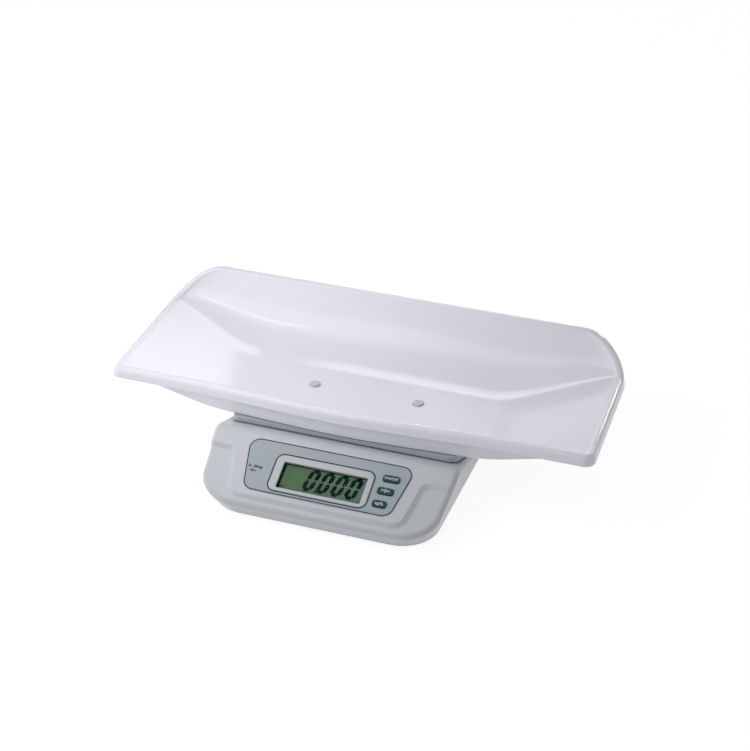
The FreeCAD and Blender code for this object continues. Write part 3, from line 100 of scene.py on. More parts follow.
class Nodes:
    """A node tree, built node by node."""

    def __init__(self, tree, ending):
        self.tree = tree
        self.ending = tree.nodes[ending]

    def node(self, kind, settings, *values, output=0, **named):
        made = self.tree.nodes.new(kind)
        for setting, value in settings.items():
            setattr(made, setting, value)
        for key, value in [*enumerate(values), *named.items()]:
            socket = made.inputs[key.replace("_", " ") if isinstance(key, str) else key]
            if isinstance(value, Socket):
                self.tree.links.new(value.link, socket)
            elif value is not None:
                socket.default_value = value
        return Socket(self, made.outputs[output])

    def seen(self):
        """1 for a ray straight from the camera, off a glossy surface or through glass, and 0 for the rest."""
        camera_ray, glossy_ray, glass_ray = [self.node("ShaderNodeLightPath", {}, output="Is %s Ray" % kind)
                                             for kind in ("Camera", "Glossy", "Transmission")]
        return self.node("ShaderNodeMath", {"operation": "ADD", "use_clamp": True},
                         camera_ray + glossy_ray, glass_ray)

    def end(self, shader):
        self.tree.links.new(shader.link, self.ending.inputs["Surface"])


class Finish(Nodes):
    """A material on a Principled shader."""

    def __init__(self, name, **constants):
        self.material = bpy.data.materials.new(name)
        self.material.use_nodes = True
        super().__init__(self.material.node_tree, "Material Output")
        self.shader = self.tree.nodes["Principled BSDF"]
        for socket, value in constants.items():
            self.shader.inputs[socket.replace("_", " ")].default_value = value

    def set(self, socket, value):
        self.tree.links.new(value.link, self.shader.inputs[socket])

    def place(self):
        return self.node("ShaderNodeTexCoord", {}, output="Object")

    def noise(self, scale, detail=2.0, stretch=None):
        where = self.place()
        if stretch:
            where = self.node("ShaderNodeVectorMath", {"operation": "MULTIPLY"}, where, stretch)
        return self.node("ShaderNodeTexNoise", {}, Vector=where, Scale=scale, Detail=detail)

    def mix(self, share, low, high):
        """A colour between two, by a share from 0 to 1; each is a socket or its red, green and blue."""
        ends = [end if isinstance(end, Socket) else (*end, 1.0) for end in (low, high)]
        number_and_vector_inputs = [None] * 5
        return self.node("ShaderNodeMix", {"data_type": "RGBA"}, share, *number_and_vector_inputs, *ends,
                         output=2)

    def bump(self, height, distance):
        self.set("Normal", self.node("ShaderNodeBump", {}, Height=height, Distance=distance, Strength=1.0))


def soft_lamp(name, place, target, size, power, mirrored):
    """A flat lamp that faces a point; it either lights surfaces or is mirrored in them."""
    lamp = bpy.data.lights.new(name, "AREA")
    lamp.shape = "RECTANGLE"
    lamp.size, lamp.size_y = size
    lamp.energy = power
    thing = bpy.data.objects.new(name, lamp)
    thing.location = place
    thing.rotation_euler = (Vector(target) - Vector(place)).to_track_quat("-Z", "Y").to_euler()
    thing.visible_camera = False
    thing.visible_diffuse = not mirrored
    thing.visible_glossy = mirrored
    scene.collection.objects.link(thing)


scene = bpy.context.scene
scene.view_settings.view_transform = "Standard"
world = bpy.data.worlds.new("room")
scene.world = world
world.use_nodes = True
room = Nodes(world.node_tree, "World Output")
ambient = room.node("ShaderNodeBackground", {}, Color=ROOM_COLOUR, Strength=ROOM_STRENGTH)
backdrop = room.node("ShaderNodeBackground", {}, Color=BACKDROP_WHITE, Strength=1.0)
room.end(room.node("ShaderNodeMixShader", {}, room.seen(), ambient, backdrop))

floor_mesh = bpy.data.meshes.new("floor")
floor_mesh.from_pydata([(x * TABLE_HALF, y * TABLE_HALF, 0) for x, y in CORNERS], [], [(0, 1, 2, 3)])
floor = bpy.data.objects.new("floor", floor_mesh)
scene.collection.objects.link(floor)
table_top = Finish("table_top", Roughness=0.9, Specular_IOR_Level=0.0, Base_Color=TABLE_COLOUR)
glow = table_top.node("ShaderNodeEmission", {}, Color=BACKDROP_WHITE, Strength=TABLE_GLOW)
matt = Socket(table_top, table_top.shader.outputs[0])
table_top.end(table_top.node("ShaderNodeMixShader", {}, table_top.seen() * TABLE_GLOW_SHARE, matt, glow))
floor_mesh.materials.append(table_top.material)

for lamps, mirrored in ((LIGHTING_LAMPS, False), (MIRRORED_LAMPS, True)):
    for name, (place, target, size, power) in lamps.items():
        soft_lamp(name, place, target, size, power, mirrored)

camera = bpy.data.cameras.new("camera")
camera.sensor_fit = "HORIZONTAL"
camera.sensor_width = CAMERA_SENSOR
camera.lens = CAMERA_LENS
viewer = bpy.data.objects.new("camera", camera)
viewer.location = CAMERA_PLACE
level_view = Euler((math.radians(90 - CAMERA_ELEVATION), 0, math.radians(CAMERA_AZIMUTH)), "XYZ").to_matrix()
roll = Matrix.Rotation(math.radians(CAMERA_ROLL), 3, "Z")
viewer.rotation_euler = (level_view @ roll).to_euler()
scene.collection.objects.link(viewer)
scene.camera = viewer


# --- Feet ---------------------------------------------------------------------------------------------------
# Four discs of soft black rubber under the corners of the housing, and all that the scale stands on.
# Each is moulded with a peg, which is pressed into a hole in the bottom cover.

MM = 0.001
CLOUD_SCALE = 9.0              # the faint cloudiness of a moulding
CLOUD_DETAIL = 3.0
CLOUD_SHINE = 0.08             # how much the roughness varies with it


def moulded(name, colour, roughness, grain=1400.0, relief=0.01 * MM, drift=0.03, **constants):
    """A moulding's surface: a faint cloudiness of colour and shine over a fine grain."""
    finish = Finish(name, Roughness=roughness, **constants)
    cloud = finish.noise(CLOUD_SCALE, CLOUD_DETAIL)
    finish.set("Base Color", finish.mix(cloud, [c * (1 - drift) for c in colour], colour))
    finish.set("Roughness", cloud * CLOUD_SHINE + (roughness - CLOUD_SHINE / 2))
    finish.bump(finish.noise(grain), relief)
    return finish.material


def dress(material, *names):
    """CAD pieces take one finish all over."""
    for name in names:
        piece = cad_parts[name]
        piece.data.materials.clear()
        piece.data.materials.append(material)


foot_black = moulded("foot_black", colour=(0.03, 0.03, 0.03), roughness=0.75, grain=900.0, relief=0.03 * MM)
dress(foot_black, *[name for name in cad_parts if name.startswith("foot_")])


# --- Housing ------------------------------------------------------------------------------------------------
# White mouldings with a fine matt surface: a flared body with a raised, sloped panel, and the bottom cover,
# which closes it from below, held by six zinc-plated screws. The battery door slides out backwards.

BRUSH_SCALE = 700.0
BRUSH_DARKER = 0.88            # colour of the lines, as a share of the metal's own
BRUSH_SHINE = 0.15             # how much the roughness varies over the lines
BRUSH_SMOOTHER = 0.05          # how far below the metal's own it starts
BRUSH_RELIEF = 0.01 * MM


def metal(name, colour, roughness, stretch):
    """Brushed or milled metal: fine lines along one direction."""
    finish = Finish(name, Metallic=1.0, Roughness=roughness)
    brushing = finish.noise(BRUSH_SCALE, stretch=stretch)
    finish.set("Base Color", finish.mix(brushing, [c * BRUSH_DARKER for c in colour], colour))
    finish.set("Roughness", brushing * BRUSH_SHINE + (roughness - BRUSH_SMOOTHER))
    finish.bump(brushing, BRUSH_RELIEF)
    return finish.material


housing_white = moulded("housing_white", colour=(0.57, 0.586, 0.622), roughness=0.3, drift=0.02)
zinc = metal("zinc_plate", colour=(0.62, 0.63, 0.65), roughness=0.3, stretch=(1.0, 1.0, 0.2))
dress(housing_white, "top_housing", "bottom_cover", "battery_door")
dress(zinc, "housing_screws")


# --- Chassis ------------------------------------------------------------------------------------------------
# A zinc-plated steel plate, screwed to the bottom cover, which carries the load down to the feet.
# A screw with a lock nut stands under the load cell's free end and stops it when the load is too great.

dress(zinc, "chassis_plate", "chassis_screws", "overload_screw", "overload_nut")


# --- Load cell ----------------------------------------------------------------------------------------------
# A bar milled from aluminium, which bends a little under the load. One end is screwed over a spacer to the
# chassis. Its gauges are potted in silicone, and a soft grey lead runs from them to a plug on the board.

aluminium = metal("milled_aluminium", colour=(0.80, 0.81, 0.83), roughness=0.35, stretch=(0.05, 1.0, 1.0))
silicone = moulded("silicone", colour=(0.75, 0.75, 0.72), roughness=0.4)
lead_grey = moulded("lead_grey", colour=(0.12, 0.12, 0.125), roughness=0.5)
natural = moulded("natural_plastic", colour=(0.72, 0.71, 0.66), roughness=0.45)
dress(aluminium, "load_cell", "lower_spacer")
dress(zinc, "lower_cell_screws")
dress(silicone, "gauge_potting")
dress(lead_grey, "load_cell_lead")
dress(natural, "lead_plug")


# --- Circuit board ------------------------------------------------------------------------------------------
# A green board, screwed under the panel, with chips, a buzzer and three switches in black plastic.
# The switches have natural white plungers, which carry the keys.

board_green = moulded("board_green", colour=(0.02, 0.11, 0.04), roughness=0.3, drift=0.25)
black = moulded("black_plastic", colour=(0.02, 0.02, 0.022), roughness=0.4)
dress(board_green, "main_board")
dress(zinc, "board_screws")
dress(black, "board_chips", "buzzer", "switch_1", "switch_2", "switch_3")
dress(natural, "plunger_1", "plunger_2", "plunger_3")


# --- Cells --------------------------------------------------------------------------------------------------
# Four round cells in plain dark sleeves, which lie side by side over the battery door, between contact
# strips of nickel-plated steel.

CELL_CLOUD = 30.0

sleeve = Finish("cell_sleeve", Roughness=0.3, Metallic=0.4)
sleeve.set("Base Color", sleeve.mix(sleeve.noise(CELL_CLOUD), (0.05, 0.07, 0.11), (0.07, 0.09, 0.13)))
nickel = metal("nickel_strip", colour=(0.75, 0.72, 0.66), roughness=0.25, stretch=(1.0, 0.2, 1.0))
dress(sleeve.material, "battery_1", "battery_2", "battery_3", "battery_4")
dress(nickel, "battery_contacts")


# --- Display glass ------------------------------------------------------------------------------------------
# A green liquid-crystal glass with a satin face, with painted light: darker and warmer on the left and
# lighter and cooler on the right, as light falls on it. A moulded holder keeps it over the board, and two
# soft rubber strips carry the signals up to it.

GLASS_CLOUD = 14.0
PAINTED_LIGHT_FADE = 100 * MM          # width over which the painted light turns the green from shaded to lit

strip_rubber = moulded("strip_rubber", colour=(0.6, 0.5, 0.5), roughness=0.6)
glass = Finish("lcd_green", Roughness=0.3, Specular_IOR_Level=0.05)
glass_cloud = glass.noise(GLASS_CLOUD)
from_left = glass.node("ShaderNodeSeparateXYZ", {}, glass.place()) * (1 / PAINTED_LIGHT_FADE) + 0.5
# painted shade on the left of the glass and painted light on its right
painted_shade_green = glass.mix(glass_cloud, (0.085, 0.158, 0.07), (0.102, 0.183, 0.086))
painted_light_green = glass.mix(glass_cloud, (0.115, 0.202, 0.14), (0.137, 0.232, 0.167))
glass.set("Base Color", glass.mix(from_left, painted_shade_green, painted_light_green))
dress(glass.material, "lcd_glass")
dress(natural, "lcd_holder")
dress(strip_rubber, "contact_strips")


# --- Display digits -----------------------------------------------------------------------------------------
# Seven-segment figures, a point and a sign, which the liquid-crystal glass shows as dark crystal when it is
# switched on, and a painted shadow in the same dark down the left side and along the top, where the
# window's recess shades the glass. The figures lean a little and read zero.

PANEL_SLOPE = math.radians(23.5)
PANEL_CENTRE = Vector((0, -108.5 * MM, 46.6 * MM))
PANEL = Matrix.Translation(PANEL_CENTRE) @ Matrix.Rotation(PANEL_SLOPE, 4, "X")
SHARP_ANGLE = math.radians(35)
INK = 0.1 * MM
DIGIT_N = -3.68 * MM           # just over the glass, measured square to the panel
DIGIT_LEFT = (-22.0 * MM, -6.2 * MM, 9.6 * MM, 25.4 * MM)
DIGIT_LOW = -19.0 * MM
DIGIT_WIDTH = 12.6 * MM
DIGIT_HEIGHT = 28.0 * MM
DIGIT_LEAN = 0.21
STROKE_HALF = 2.35 * MM
STROKE_GAP = 0.12 * MM
POINT = ((-4.6 * MM, -17.2 * MM), 1.5 * MM, 1.5 * MM)    # place, half width, half height
SIGN = ((-42.5 * MM, -18.0 * MM), 2.2 * MM, 0.6 * MM)
# painted shadow of the window's recess on the glass: its left bar, right end, foot and top bar
PAINTED_SHADOW_LEFT = (-47.5 * MM, -45.0 * MM)
PAINTED_SHADOW_RIGHT = 46.9 * MM
PAINTED_SHADOW_LOW = -23.4 * MM
PAINTED_SHADOW_TOP = (8.3 * MM, 9.0 * MM)


def skin(bm, rings, closed):
    """Faces between rings of points; an open run gets its two ends closed."""
    made = [[bm.verts.new(p) for p in ring] for ring in rings]
    count = len(made[0])
    pairs = list(zip(made, made[1:])) + ([(made[-1], made[0])] if closed else [])
    for one, two in pairs:
        for i in range(count):
            j = (i + 1) % count
            bm.faces.new((one[i], one[j], two[j], two[i]))
    if not closed:
        bm.faces.new(list(reversed(made[0])))
        bm.faces.new(made[-1])


def lifted(outline, n):
    return [Vector((p.x, p.y, n)) for p in outline]


def add_patch(bm, outline, n):
    """A small printed patch."""
    skin(bm, [lifted(outline, n), lifted(outline, n + INK)], False)


def add_piece(name, bm, material):
    """A mesh made into a piece, smooth but for its real corners."""
    bmesh.ops.recalc_face_normals(bm, faces=bm.faces)
    mesh = bpy.data.meshes.new(name)
    bm.to_mesh(mesh)
    bm.free()
    for polygon in mesh.polygons:
        polygon.use_smooth = True
    mesh.set_sharp_from_angle(angle=SHARP_ANGLE)
    mesh.materials.append(material)
    piece = bpy.data.objects.new(name, mesh)
    scene.collection.objects.link(piece)
    return piece


def add_print(name, bm, material, body):
    """Patches or lines that were drawn flat become one piece on the sloped panel."""
    bmesh.ops.transform(bm, matrix=PANEL, verts=bm.verts)
    piece = add_piece(name, bm, material)
    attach(piece, body)


def oblong(place, half_width, half_height):
    u, v = place
    return [Vector((u + i * half_width, v + j * half_height)) for i, j in CORNERS]


def add_bar(bm, start, stop, shift):
    """One bar of a figure, pointed at both ends."""
    along = (stop - start).normalized()
    across = Vector((-along.y, along.x)) * STROKE_HALF
    nose = along * STROKE_HALF
    first, last = start + along * STROKE_GAP, stop - along * STROKE_GAP
    points = [first, first + nose - across, last - nose - across, last, last - nose + across,
              first + nose + across]
    add_patch(bm, [Vector((shift.x + p.x + DIGIT_LEAN * p.y, shift.y + p.y)) for p in points], DIGIT_N)


def add_zero(bm, shift):
    """The six outer bars of a figure."""
    columns = (STROKE_HALF, DIGIT_WIDTH - STROKE_HALF)
    rows = (STROKE_HALF, DIGIT_HEIGHT / 2, DIGIT_HEIGHT - STROKE_HALF)
    for height in (rows[0], rows[-1]):
        add_bar(bm, Vector((columns[0], height)), Vector((columns[1], height)), shift)
    for x in columns:
        for low, high in zip(rows, rows[1:]):
            add_bar(bm, Vector((x, low)), Vector((x, high)), shift)


def painted_shadow_outline():
    """Painted shadow of the window's recess: a wide bar down the left side and a thin one along the top."""
    left, left_inner = PAINTED_SHADOW_LEFT
    top_inner, top = PAINTED_SHADOW_TOP
    return [Vector(p) for p in ((left, PAINTED_SHADOW_LOW), (left_inner, PAINTED_SHADOW_LOW), (left_inner, top_inner),
                                (PAINTED_SHADOW_RIGHT, top_inner), (PAINTED_SHADOW_RIGHT, top), (left, top))]


# the figures' dark crystal, also used for the painted shadow of the window's recess
crystal_and_shadow = moulded("crystal_and_painted_shadow", colour=(0.002, 0.012, 0.010), roughness=0.4, grain=2000.0,
                  relief=0.002 * MM, Specular_IOR_Level=0.0)
figures_and_shadow = bmesh.new()
for u in DIGIT_LEFT:
    add_zero(figures_and_shadow, Vector((u, DIGIT_LOW)))
# the point, the sign and the painted shadow along the glass's left and top sides
for outline in (oblong(*POINT), oblong(*SIGN), painted_shadow_outline()):
    add_patch(figures_and_shadow, outline, DIGIT_N)
add_print("display_figures_and_shadow", figures_and_shadow, crystal_and_shadow, "base")


# --- Label --------------------------------------------------------------------------------------------------
# A grey printed film, stuck on the raised panel. Dark ink draws one line along its edge and another round the
# display window, and two small load figures on the left.

LABEL_N = 0.4 * MM                      # the film's face, measured square to the panel
LABEL_HALF = (82.0 * MM, 94.5 * MM)     # half its width along its lower and its upper edge
LABEL_V = (-31.5 * MM, 31.5 * MM)       # the two edges, up the panel from its centre
LABEL_ARCH = 2.5 * MM
LABEL_ROUND = 12 * MM
LABEL_LINE = (0.1 * MM, 1.4 * MM)       # from the film's edge to the printed line's two edges
WINDOW_PLACE = (-1.5 * MM, -5.2 * MM)
WINDOW_SIZE = (109 * MM, 44 * MM)
WINDOW_ROUND = 8 * MM
WINDOW_LINE = (1.8 * MM, 0.4 * MM)      # from the window's bezel to the other line's
LOAD_FIGURES = (("0 - 20 kg", 4.4 * MM, (-76.6 * MM, -3.6 * MM)),    # words, height, place
                ("10 g", 3.9 * MM, (-78.0 * MM, -8.8 * MM)))
LOAD_SWELL = 0.2 * MM


def rounded(corners, radius, count=8):
    """A closed outline round flat corners, each turned at one radius."""
    found = []
    for i, here in enumerate(corners):
        to_last = (corners[i - 1] - here).normalized()
        to_next = (corners[(i + 1) % len(corners)] - here).normalized()
        half = to_last.angle(to_next) / 2
        centre = here + (to_last + to_next).normalized() * (radius / math.sin(half))
        start = here + to_last * (radius / math.tan(half)) - centre
        stop = here + to_next * (radius / math.tan(half)) - centre
        for k in range(count + 1):
            found.append(centre + start.slerp(stop, k / count).normalized() * radius)
    return found


def label_edge(inset):
    """The label's outline, a distance inside its edge; the lower side bellies down a little."""
    low, high = LABEL_HALF
    low_v, high_v = LABEL_V
    corners = [Vector(p) for p in ((-low, low_v), (low, low_v), (high, high_v), (-high, high_v))]
    middle = sum(corners, Vector((0, 0))) / 4
    points = rounded(corners, LABEL_ROUND, 10)
    drawn = []
    for i, p in enumerate(points):
        along = (points[(i + 1) % len(points)] - points[i - 1]).normalized()
        belly = LABEL_ARCH * max(0.0, 1 - (p.x / low) ** 2) if p.y < middle.y else 0.0
        drawn.append(p + Vector((-along.y, along.x)) * inset - Vector((0, belly)))
    return drawn


def window_edge(grow):
    width, height = WINDOW_SIZE
    return rounded(oblong(WINDOW_PLACE, width / 2 + grow, height / 2 + grow), WINDOW_ROUND + grow)


def add_line(bm, outer, inner, n):
    """A printed line between two outlines with as many points."""
    skin(bm, [lifted(outer, n), lifted(outer, n + INK), lifted(inner, n + INK), lifted(inner, n)], True)


def add_text(name, words, height, swell, place, n, material, body):
    """Printed text, turned into a mesh; swell is how much its strokes grow."""
    curve = bpy.data.curves.new(name, "FONT")
    curve.body = words
    curve.size = height
    curve.extrude = INK
    curve.offset = swell
    curve.align_x = "CENTER"
    curve.align_y = "CENTER"
    drawn = bpy.data.objects.new(name + "_curve", curve)
    scene.collection.objects.link(drawn)
    bpy.context.view_layer.update()
    mesh = bpy.data.meshes.new_from_object(drawn)
    bpy.data.objects.remove(drawn)
    mesh.materials.clear()
    mesh.materials.append(material)
    mesh.transform(PANEL @ Matrix.Translation((*place, n + INK)))
    piece = bpy.data.objects.new(name, mesh)
    scene.collection.objects.link(piece)
    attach(piece, body)


label_grey = moulded("label_grey", colour=(0.36, 0.411, 0.44), roughness=0.4, grain=2200.0,
                     relief=0.004 * MM)
line_ink = moulded("line_ink", colour=(0.030, 0.036, 0.045), roughness=0.5, grain=2000.0, relief=0.003 * MM)
dress(label_grey, "control_label")
label_lines = bmesh.new()
add_line(label_lines, *[label_edge(inset) for inset in LABEL_LINE], LABEL_N)
add_line(label_lines, *[window_edge(grow) for grow in WINDOW_LINE], LABEL_N)
add_print("label_lines", label_lines, line_ink, "base")
for i, (words, height, place) in enumerate(LOAD_FIGURES, 1):
    add_text("load_figure_%d" % i, words, height, LOAD_SWELL, place, LABEL_N, line_ink, "base")


# --- Window -------------------------------------------------------------------------------------------------
# A bezel moulded in light grey plastic, with a flange on the panel and a skirt through it. A thin lens of
# clear acrylic, faintly wavy, is let into it from behind, over the display glass.

LENS_WAVES = 60.0
LENS_RELIEF = 0.002 * MM

frame_grey = moulded("frame_grey", colour=(0.52, 0.54, 0.56), roughness=0.35)
lens_clear = Finish("lens_clear", Roughness=0.05, IOR=1.1, Transmission_Weight=1.0)
lens_clear.bump(lens_clear.noise(LENS_WAVES), LENS_RELIEF)
dress(frame_grey, "window_frame")
dress(lens_clear.material, "display_lens")


# --- Keys ---------------------------------------------------------------------------------------------------
# Three oblong keys of teal rubber, which come up through the film and stand on the plungers of their
# switches. Each has a plain white mark printed on it, which goes down with the key.

KEY_N = 1.8 * MM
KEY_MARKS = (("ON/OFF", 4.2 * MM, (71.5 * MM, 13.0 * MM)),           # words, height, place
             (">0<", 6.0 * MM, (69.5 * MM, -2.5 * MM)),
             ("kg/lb", 4.8 * MM, (67.5 * MM, -18.5 * MM)))
MARK_SWELL = 0.06 * MM

key_teal = moulded("key_teal", colour=(0.002, 0.044, 0.047), roughness=0.35, Specular_IOR_Level=0.3)
mark_white = moulded("mark_white", colour=(0.62, 0.70, 0.70), roughness=0.5, grain=2000.0, relief=0.003 * MM)
for i, (words, height, place) in enumerate(KEY_MARKS, 1):
    dress(key_teal, "key_%d" % i)
    add_text("key_mark_%d" % i, words, height, MARK_SWELL, place, KEY_N, mark_white, "button_%d" % i)


# --- Platform -----------------------------------------------------------------------------------------------
# A grey moulded lid that hides the load cell, its skirt following the slope of the housing with an even gap.
# It is screwed to a spider plate of aluminium, and that over a spacer to the load cell's free end.

platform_grey = moulded("platform_grey", colour=(0.45, 0.472, 0.51), roughness=0.45)
dress(platform_grey, "platform_cover")
dress(aluminium, "spider_plate", "upper_spacer")
dress(zinc, "cover_screws", "upper_cell_screws")


# --- Location studs -----------------------------------------------------------------------------------------
# Two domed studs of grey plastic, whose shanks are pressed into the top of the platform.
# The two holes in the tray's floor drop over them and keep it in its place.

stud_grey = moulded("stud_grey", colour=(0.58, 0.60, 0.63), roughness=0.3)
dress(stud_grey, "stud_left", "stud_right")


# --- Tray ---------------------------------------------------------------------------------------------------
# One thick-walled moulding in glossy white plastic: flat floor, ramped ends, a high back that curls outwards,
# and a rolled rim all round. It lies loose on the platform, over two studs that come through its floor.

TRAY_LENGTH = 549 * MM
TRAY_DEPTH = 213 * MM
TRAY_FRONT = -57.7 * MM
TRAY_BACK = TRAY_FRONT + TRAY_DEPTH
FRONT_BOW = 7.4 * MM           # how far the front falls back from the middle
FRONT_BOW_SHARE = 0.68         # and over which share of the half length
FRONT_RADIUS = 11.5 * MM
CORNER_X = 56.6 * MM           # the back corners' quarter ellipses
CORNER_Y = 49.6 * MM
BACK_X = TRAY_LENGTH / 2 - CORNER_X
BACK_Y = TRAY_BACK - CORNER_Y
BACK_RISE = 32.2 * MM
RISE_POWER = 1.85              # how the rim climbs round them, from the ends to the back

WALL = 3.2 * MM
FLOOR_TOP = 66 * MM
FLOOR_HALF = 134 * MM
WELL_DEPTH = 26.2 * MM
RIM_TOP = FLOOR_TOP + WELL_DEPTH
RAMP_TOP = 0.6 * MM            # the ramp's head over the rim's line
RAMP_SOFT = 0.36               # share of the ramp over which it curves up
FOOT_LINE = 61 * MM            # where the floor turns up into the back wall, at the middle and at the ends
FOOT_LINE_END = 111 * MM
LEAST_RUN = 6 * MM             # from the back wall's foot to its head
BACK_LEAN = math.radians(75)   # the back wall's slope at its head
HEAD_DROP = 1 * MM             # its head under the rim's line
WALL_SEAT = 10 * MM            # its inner face inside the rim's outer line
WALL_TOP = 2.4 * MM
OUTER_FOOT = 0.255 * WALL      # how far its outer face lies behind the inner one, at the foot
OUTER_BEND = 0.595 * WALL      # and where it bends up
HANDLE = 0.55                  # share of a curve's reach along which it keeps its first direction
HEAD_HANDLE = 0.5
FRONT_FILLET = 11 * MM         # inside the front wall's foot
LEAST_FRONT_FILLET = 0.1 * MM
UNDER_FILLET = 3 * MM          # outside it
LEAST_UNDER_FILLET = 0.3 * MM
FILLET_SHARE = 0.8             # most of the front wall's height that a fillet takes
LEAST_FRONT_WALL = 0.05 * MM   # straight part left over the fillet
FRONT_HEAD_DROP = 1.5 * MM
WALL_DRAFT = 0.6 * MM          # how far the front wall's outside leans in, down to the fillet
FOOT_DRAFT = 1 * MM            # and down to the fillet's end

RIM_WIDTH = 10.5 * MM
RIM_CROWN = 1.5 * MM           # the crown over the rim's line
RIM_DROP = 10 * MM             # the lip's lower edge under it
RIM_FLARE = 0.9 * MM           # how far the lip flares out at that edge
RIM_THICK = 3 * MM             # the lip's thickness
RIM_UNDER = 3.2 * MM           # the rim's underside, behind the lip
RIM_LAP = 1 * MM               # the rim reaches this far over the front wall's inside
LIP_LAP = 0.3 * MM             # the front wall's outside lies this deep in the rim's lip
LIP_TOP = -4.5 * MM            # where the lip turns into the crown's curve
CROWN_PLACE = 5 * MM           # the crown's highest point, inward from the rim's outer line
OUTER_HANDLES = ((0.5 * MM, -1.2 * MM), (1.8 * MM, RIM_CROWN - 0.2 * MM))
INNER_HANDLES = ((7.6 * MM, RIM_CROWN + 0.1 * MM), (RIM_WIDTH, RIM_CROWN - 0.9 * MM))
EDGE_LOW = 1 * MM - RIM_UNDER
EDGE_BEVEL = 1.2 * MM

STUD_X = 61 * MM
STUD_Y = 30 * MM
STUD_HOLE = 6.55 * MM
DRILL_LENGTH = 30 * MM

FLOOR_STATIONS = 16            # cuts across the wall from the middle to the ramp
RAMP_STATIONS = 24             # and on to the back corner
TURN_STATIONS = 40
TURN_END = 19                  # degrees of the back corner where the wall's closing begins
CLOSING_TURNS = ((16.5, 0.95), (14, 0.9), (12, 0.65))   # degrees, share of the wall's seat
FRONT_RIM_STATIONS = 29
FRONT_CORNER_STATIONS = 16
BACK_CORNER_STATIONS = 48
SHORT_STEPS = 3                # points on a short straight face, and so on
LONG_STEPS = 12
BACK_STEPS = 36
FILLET_STEPS = 10
UNDER_FILLET_STEPS = 5
CROWN_STEPS = 12


def rim_point(t):
    """The rim's outer line round a back corner, from the end (0) to the back (a quarter turn)."""
    s = math.sin(t)
    return Vector((BACK_X + CORNER_X * math.cos(t), BACK_Y + CORNER_Y * s,
                   RIM_TOP + BACK_RISE * s ** RISE_POWER))


def rim_inward(t):
    return -Vector((math.cos(t) / CORNER_X, math.sin(t) / CORNER_Y, 0)).normalized()


def set_back(side):
    """How far the front has fallen back at a station: nothing at the middle, level again near the ends."""
    share = min(1.0, side / (FRONT_BOW_SHARE * TRAY_LENGTH / 2))
    return FRONT_BOW * share ** 2 * (3 - 2 * share)


def front_line(side, inset):
    """Where the front runs at a station, a distance inside the rim's outer line."""
    centre = TRAY_LENGTH / 2 - FRONT_RADIUS
    front = TRAY_FRONT + set_back(side)
    if side <= centre:
        return front + inset
    return front + FRONT_RADIUS - math.sqrt(max(0.0, (FRONT_RADIUS - inset) ** 2 - (side - centre) ** 2))


def ramp_rise(side):
    """How far up its ramp the floor is at a station; it curves up softly from the level floor."""
    share = min(1.0, max(0.0, (side - FLOOR_HALF) / (TRAY_LENGTH / 2 - RIM_WIDTH - FLOOR_HALF)))
    knee = RAMP_SOFT / 2
    if share < RAMP_SOFT:
        return share ** 2 / (4 * knee * (1 - knee))
    return (share - knee) / (1 - knee)


def cubic(a, b, c, d, count):
    """Points on a cubic curve, without its first."""
    found = []
    for i in range(1, count + 1):
        t = i / count
        u = 1 - t
        found.append(a * u ** 3 + b * 3 * u * u * t + c * 3 * u * t * t + d * t ** 3)
    return found


def straight(a, b, count=1):
    return [a.lerp(b, i / count) for i in range(1, count + 1)]


def wall_section(top):
    """The wall cut across, as a closed ring; top is where the back wall's inner face meets the rim."""
    side = abs(top.x)
    share = ramp_rise(side)
    floor_z = FLOOR_TOP + (WELL_DEPTH + RAMP_TOP) * share
    under_z = floor_z - WALL
    foot = min(FOOT_LINE + (FOOT_LINE_END - FOOT_LINE) * share, top.y - LEAST_RUN)
    bend = foot + HANDLE * (top.y - foot)
    head = top.z - HEAD_DROP
    room = FILLET_SHARE * (RIM_TOP - floor_z)
    fillet = max(LEAST_FRONT_FILLET, min(FRONT_FILLET, room))
    under = max(LEAST_UNDER_FILLET, min(UNDER_FILLET, room))
    inside = front_line(side, RIM_WIDTH - RIM_LAP)
    outside = front_line(side, RIM_THICK - RIM_FLARE - LIP_LAP)
    front_top = max(RIM_TOP - FRONT_HEAD_DROP, floor_z + fillet + LEAST_FRONT_WALL)
    level, upright = Vector((0, 1, 0)), Vector((0, 0, 1))
    steep = Vector((0, math.cos(BACK_LEAN), math.sin(BACK_LEAN)))

    def at(y, z):
        return Vector((top.x, y, z))

    inner_head, inner_foot = at(inside, front_top), at(inside, floor_z + fillet)
    floor_front, floor_back = at(inside + fillet, floor_z), at(foot, floor_z)
    head_inner, head_outer = at(top.y, head), at(top.y + WALL_TOP, head)
    under_back, under_front = at(foot + OUTER_FOOT, under_z), at(outside + FOOT_DRAFT + under, under_z)
    outer_foot, outer_head = at(outside + WALL_DRAFT, under_z + under), at(outside, front_top)
    points = [inner_head]
    points += straight(inner_head, inner_foot, SHORT_STEPS)
    points += cubic(inner_foot, inner_foot - upright * (HANDLE * fillet),
                    floor_front - level * (HANDLE * fillet), floor_front, FILLET_STEPS)
    points += straight(floor_front, floor_back, LONG_STEPS)
    points += cubic(floor_back, at(bend, floor_z),
                    head_inner - steep * (HEAD_HANDLE * (head - floor_z)), head_inner, BACK_STEPS)
    points += straight(head_inner, head_outer)
    points += cubic(head_outer, head_outer - steep * (HEAD_HANDLE * (head - under_z)),
                    at(bend + OUTER_BEND, under_z), under_back, BACK_STEPS)
    points += straight(under_back, under_front, LONG_STEPS)
    points += cubic(under_front, under_front - level * (HANDLE * under),
                    outer_foot - upright * (HANDLE * under), outer_foot, UNDER_FILLET_STEPS)
    points += straight(outer_foot, outer_head, SHORT_STEPS)
    return points


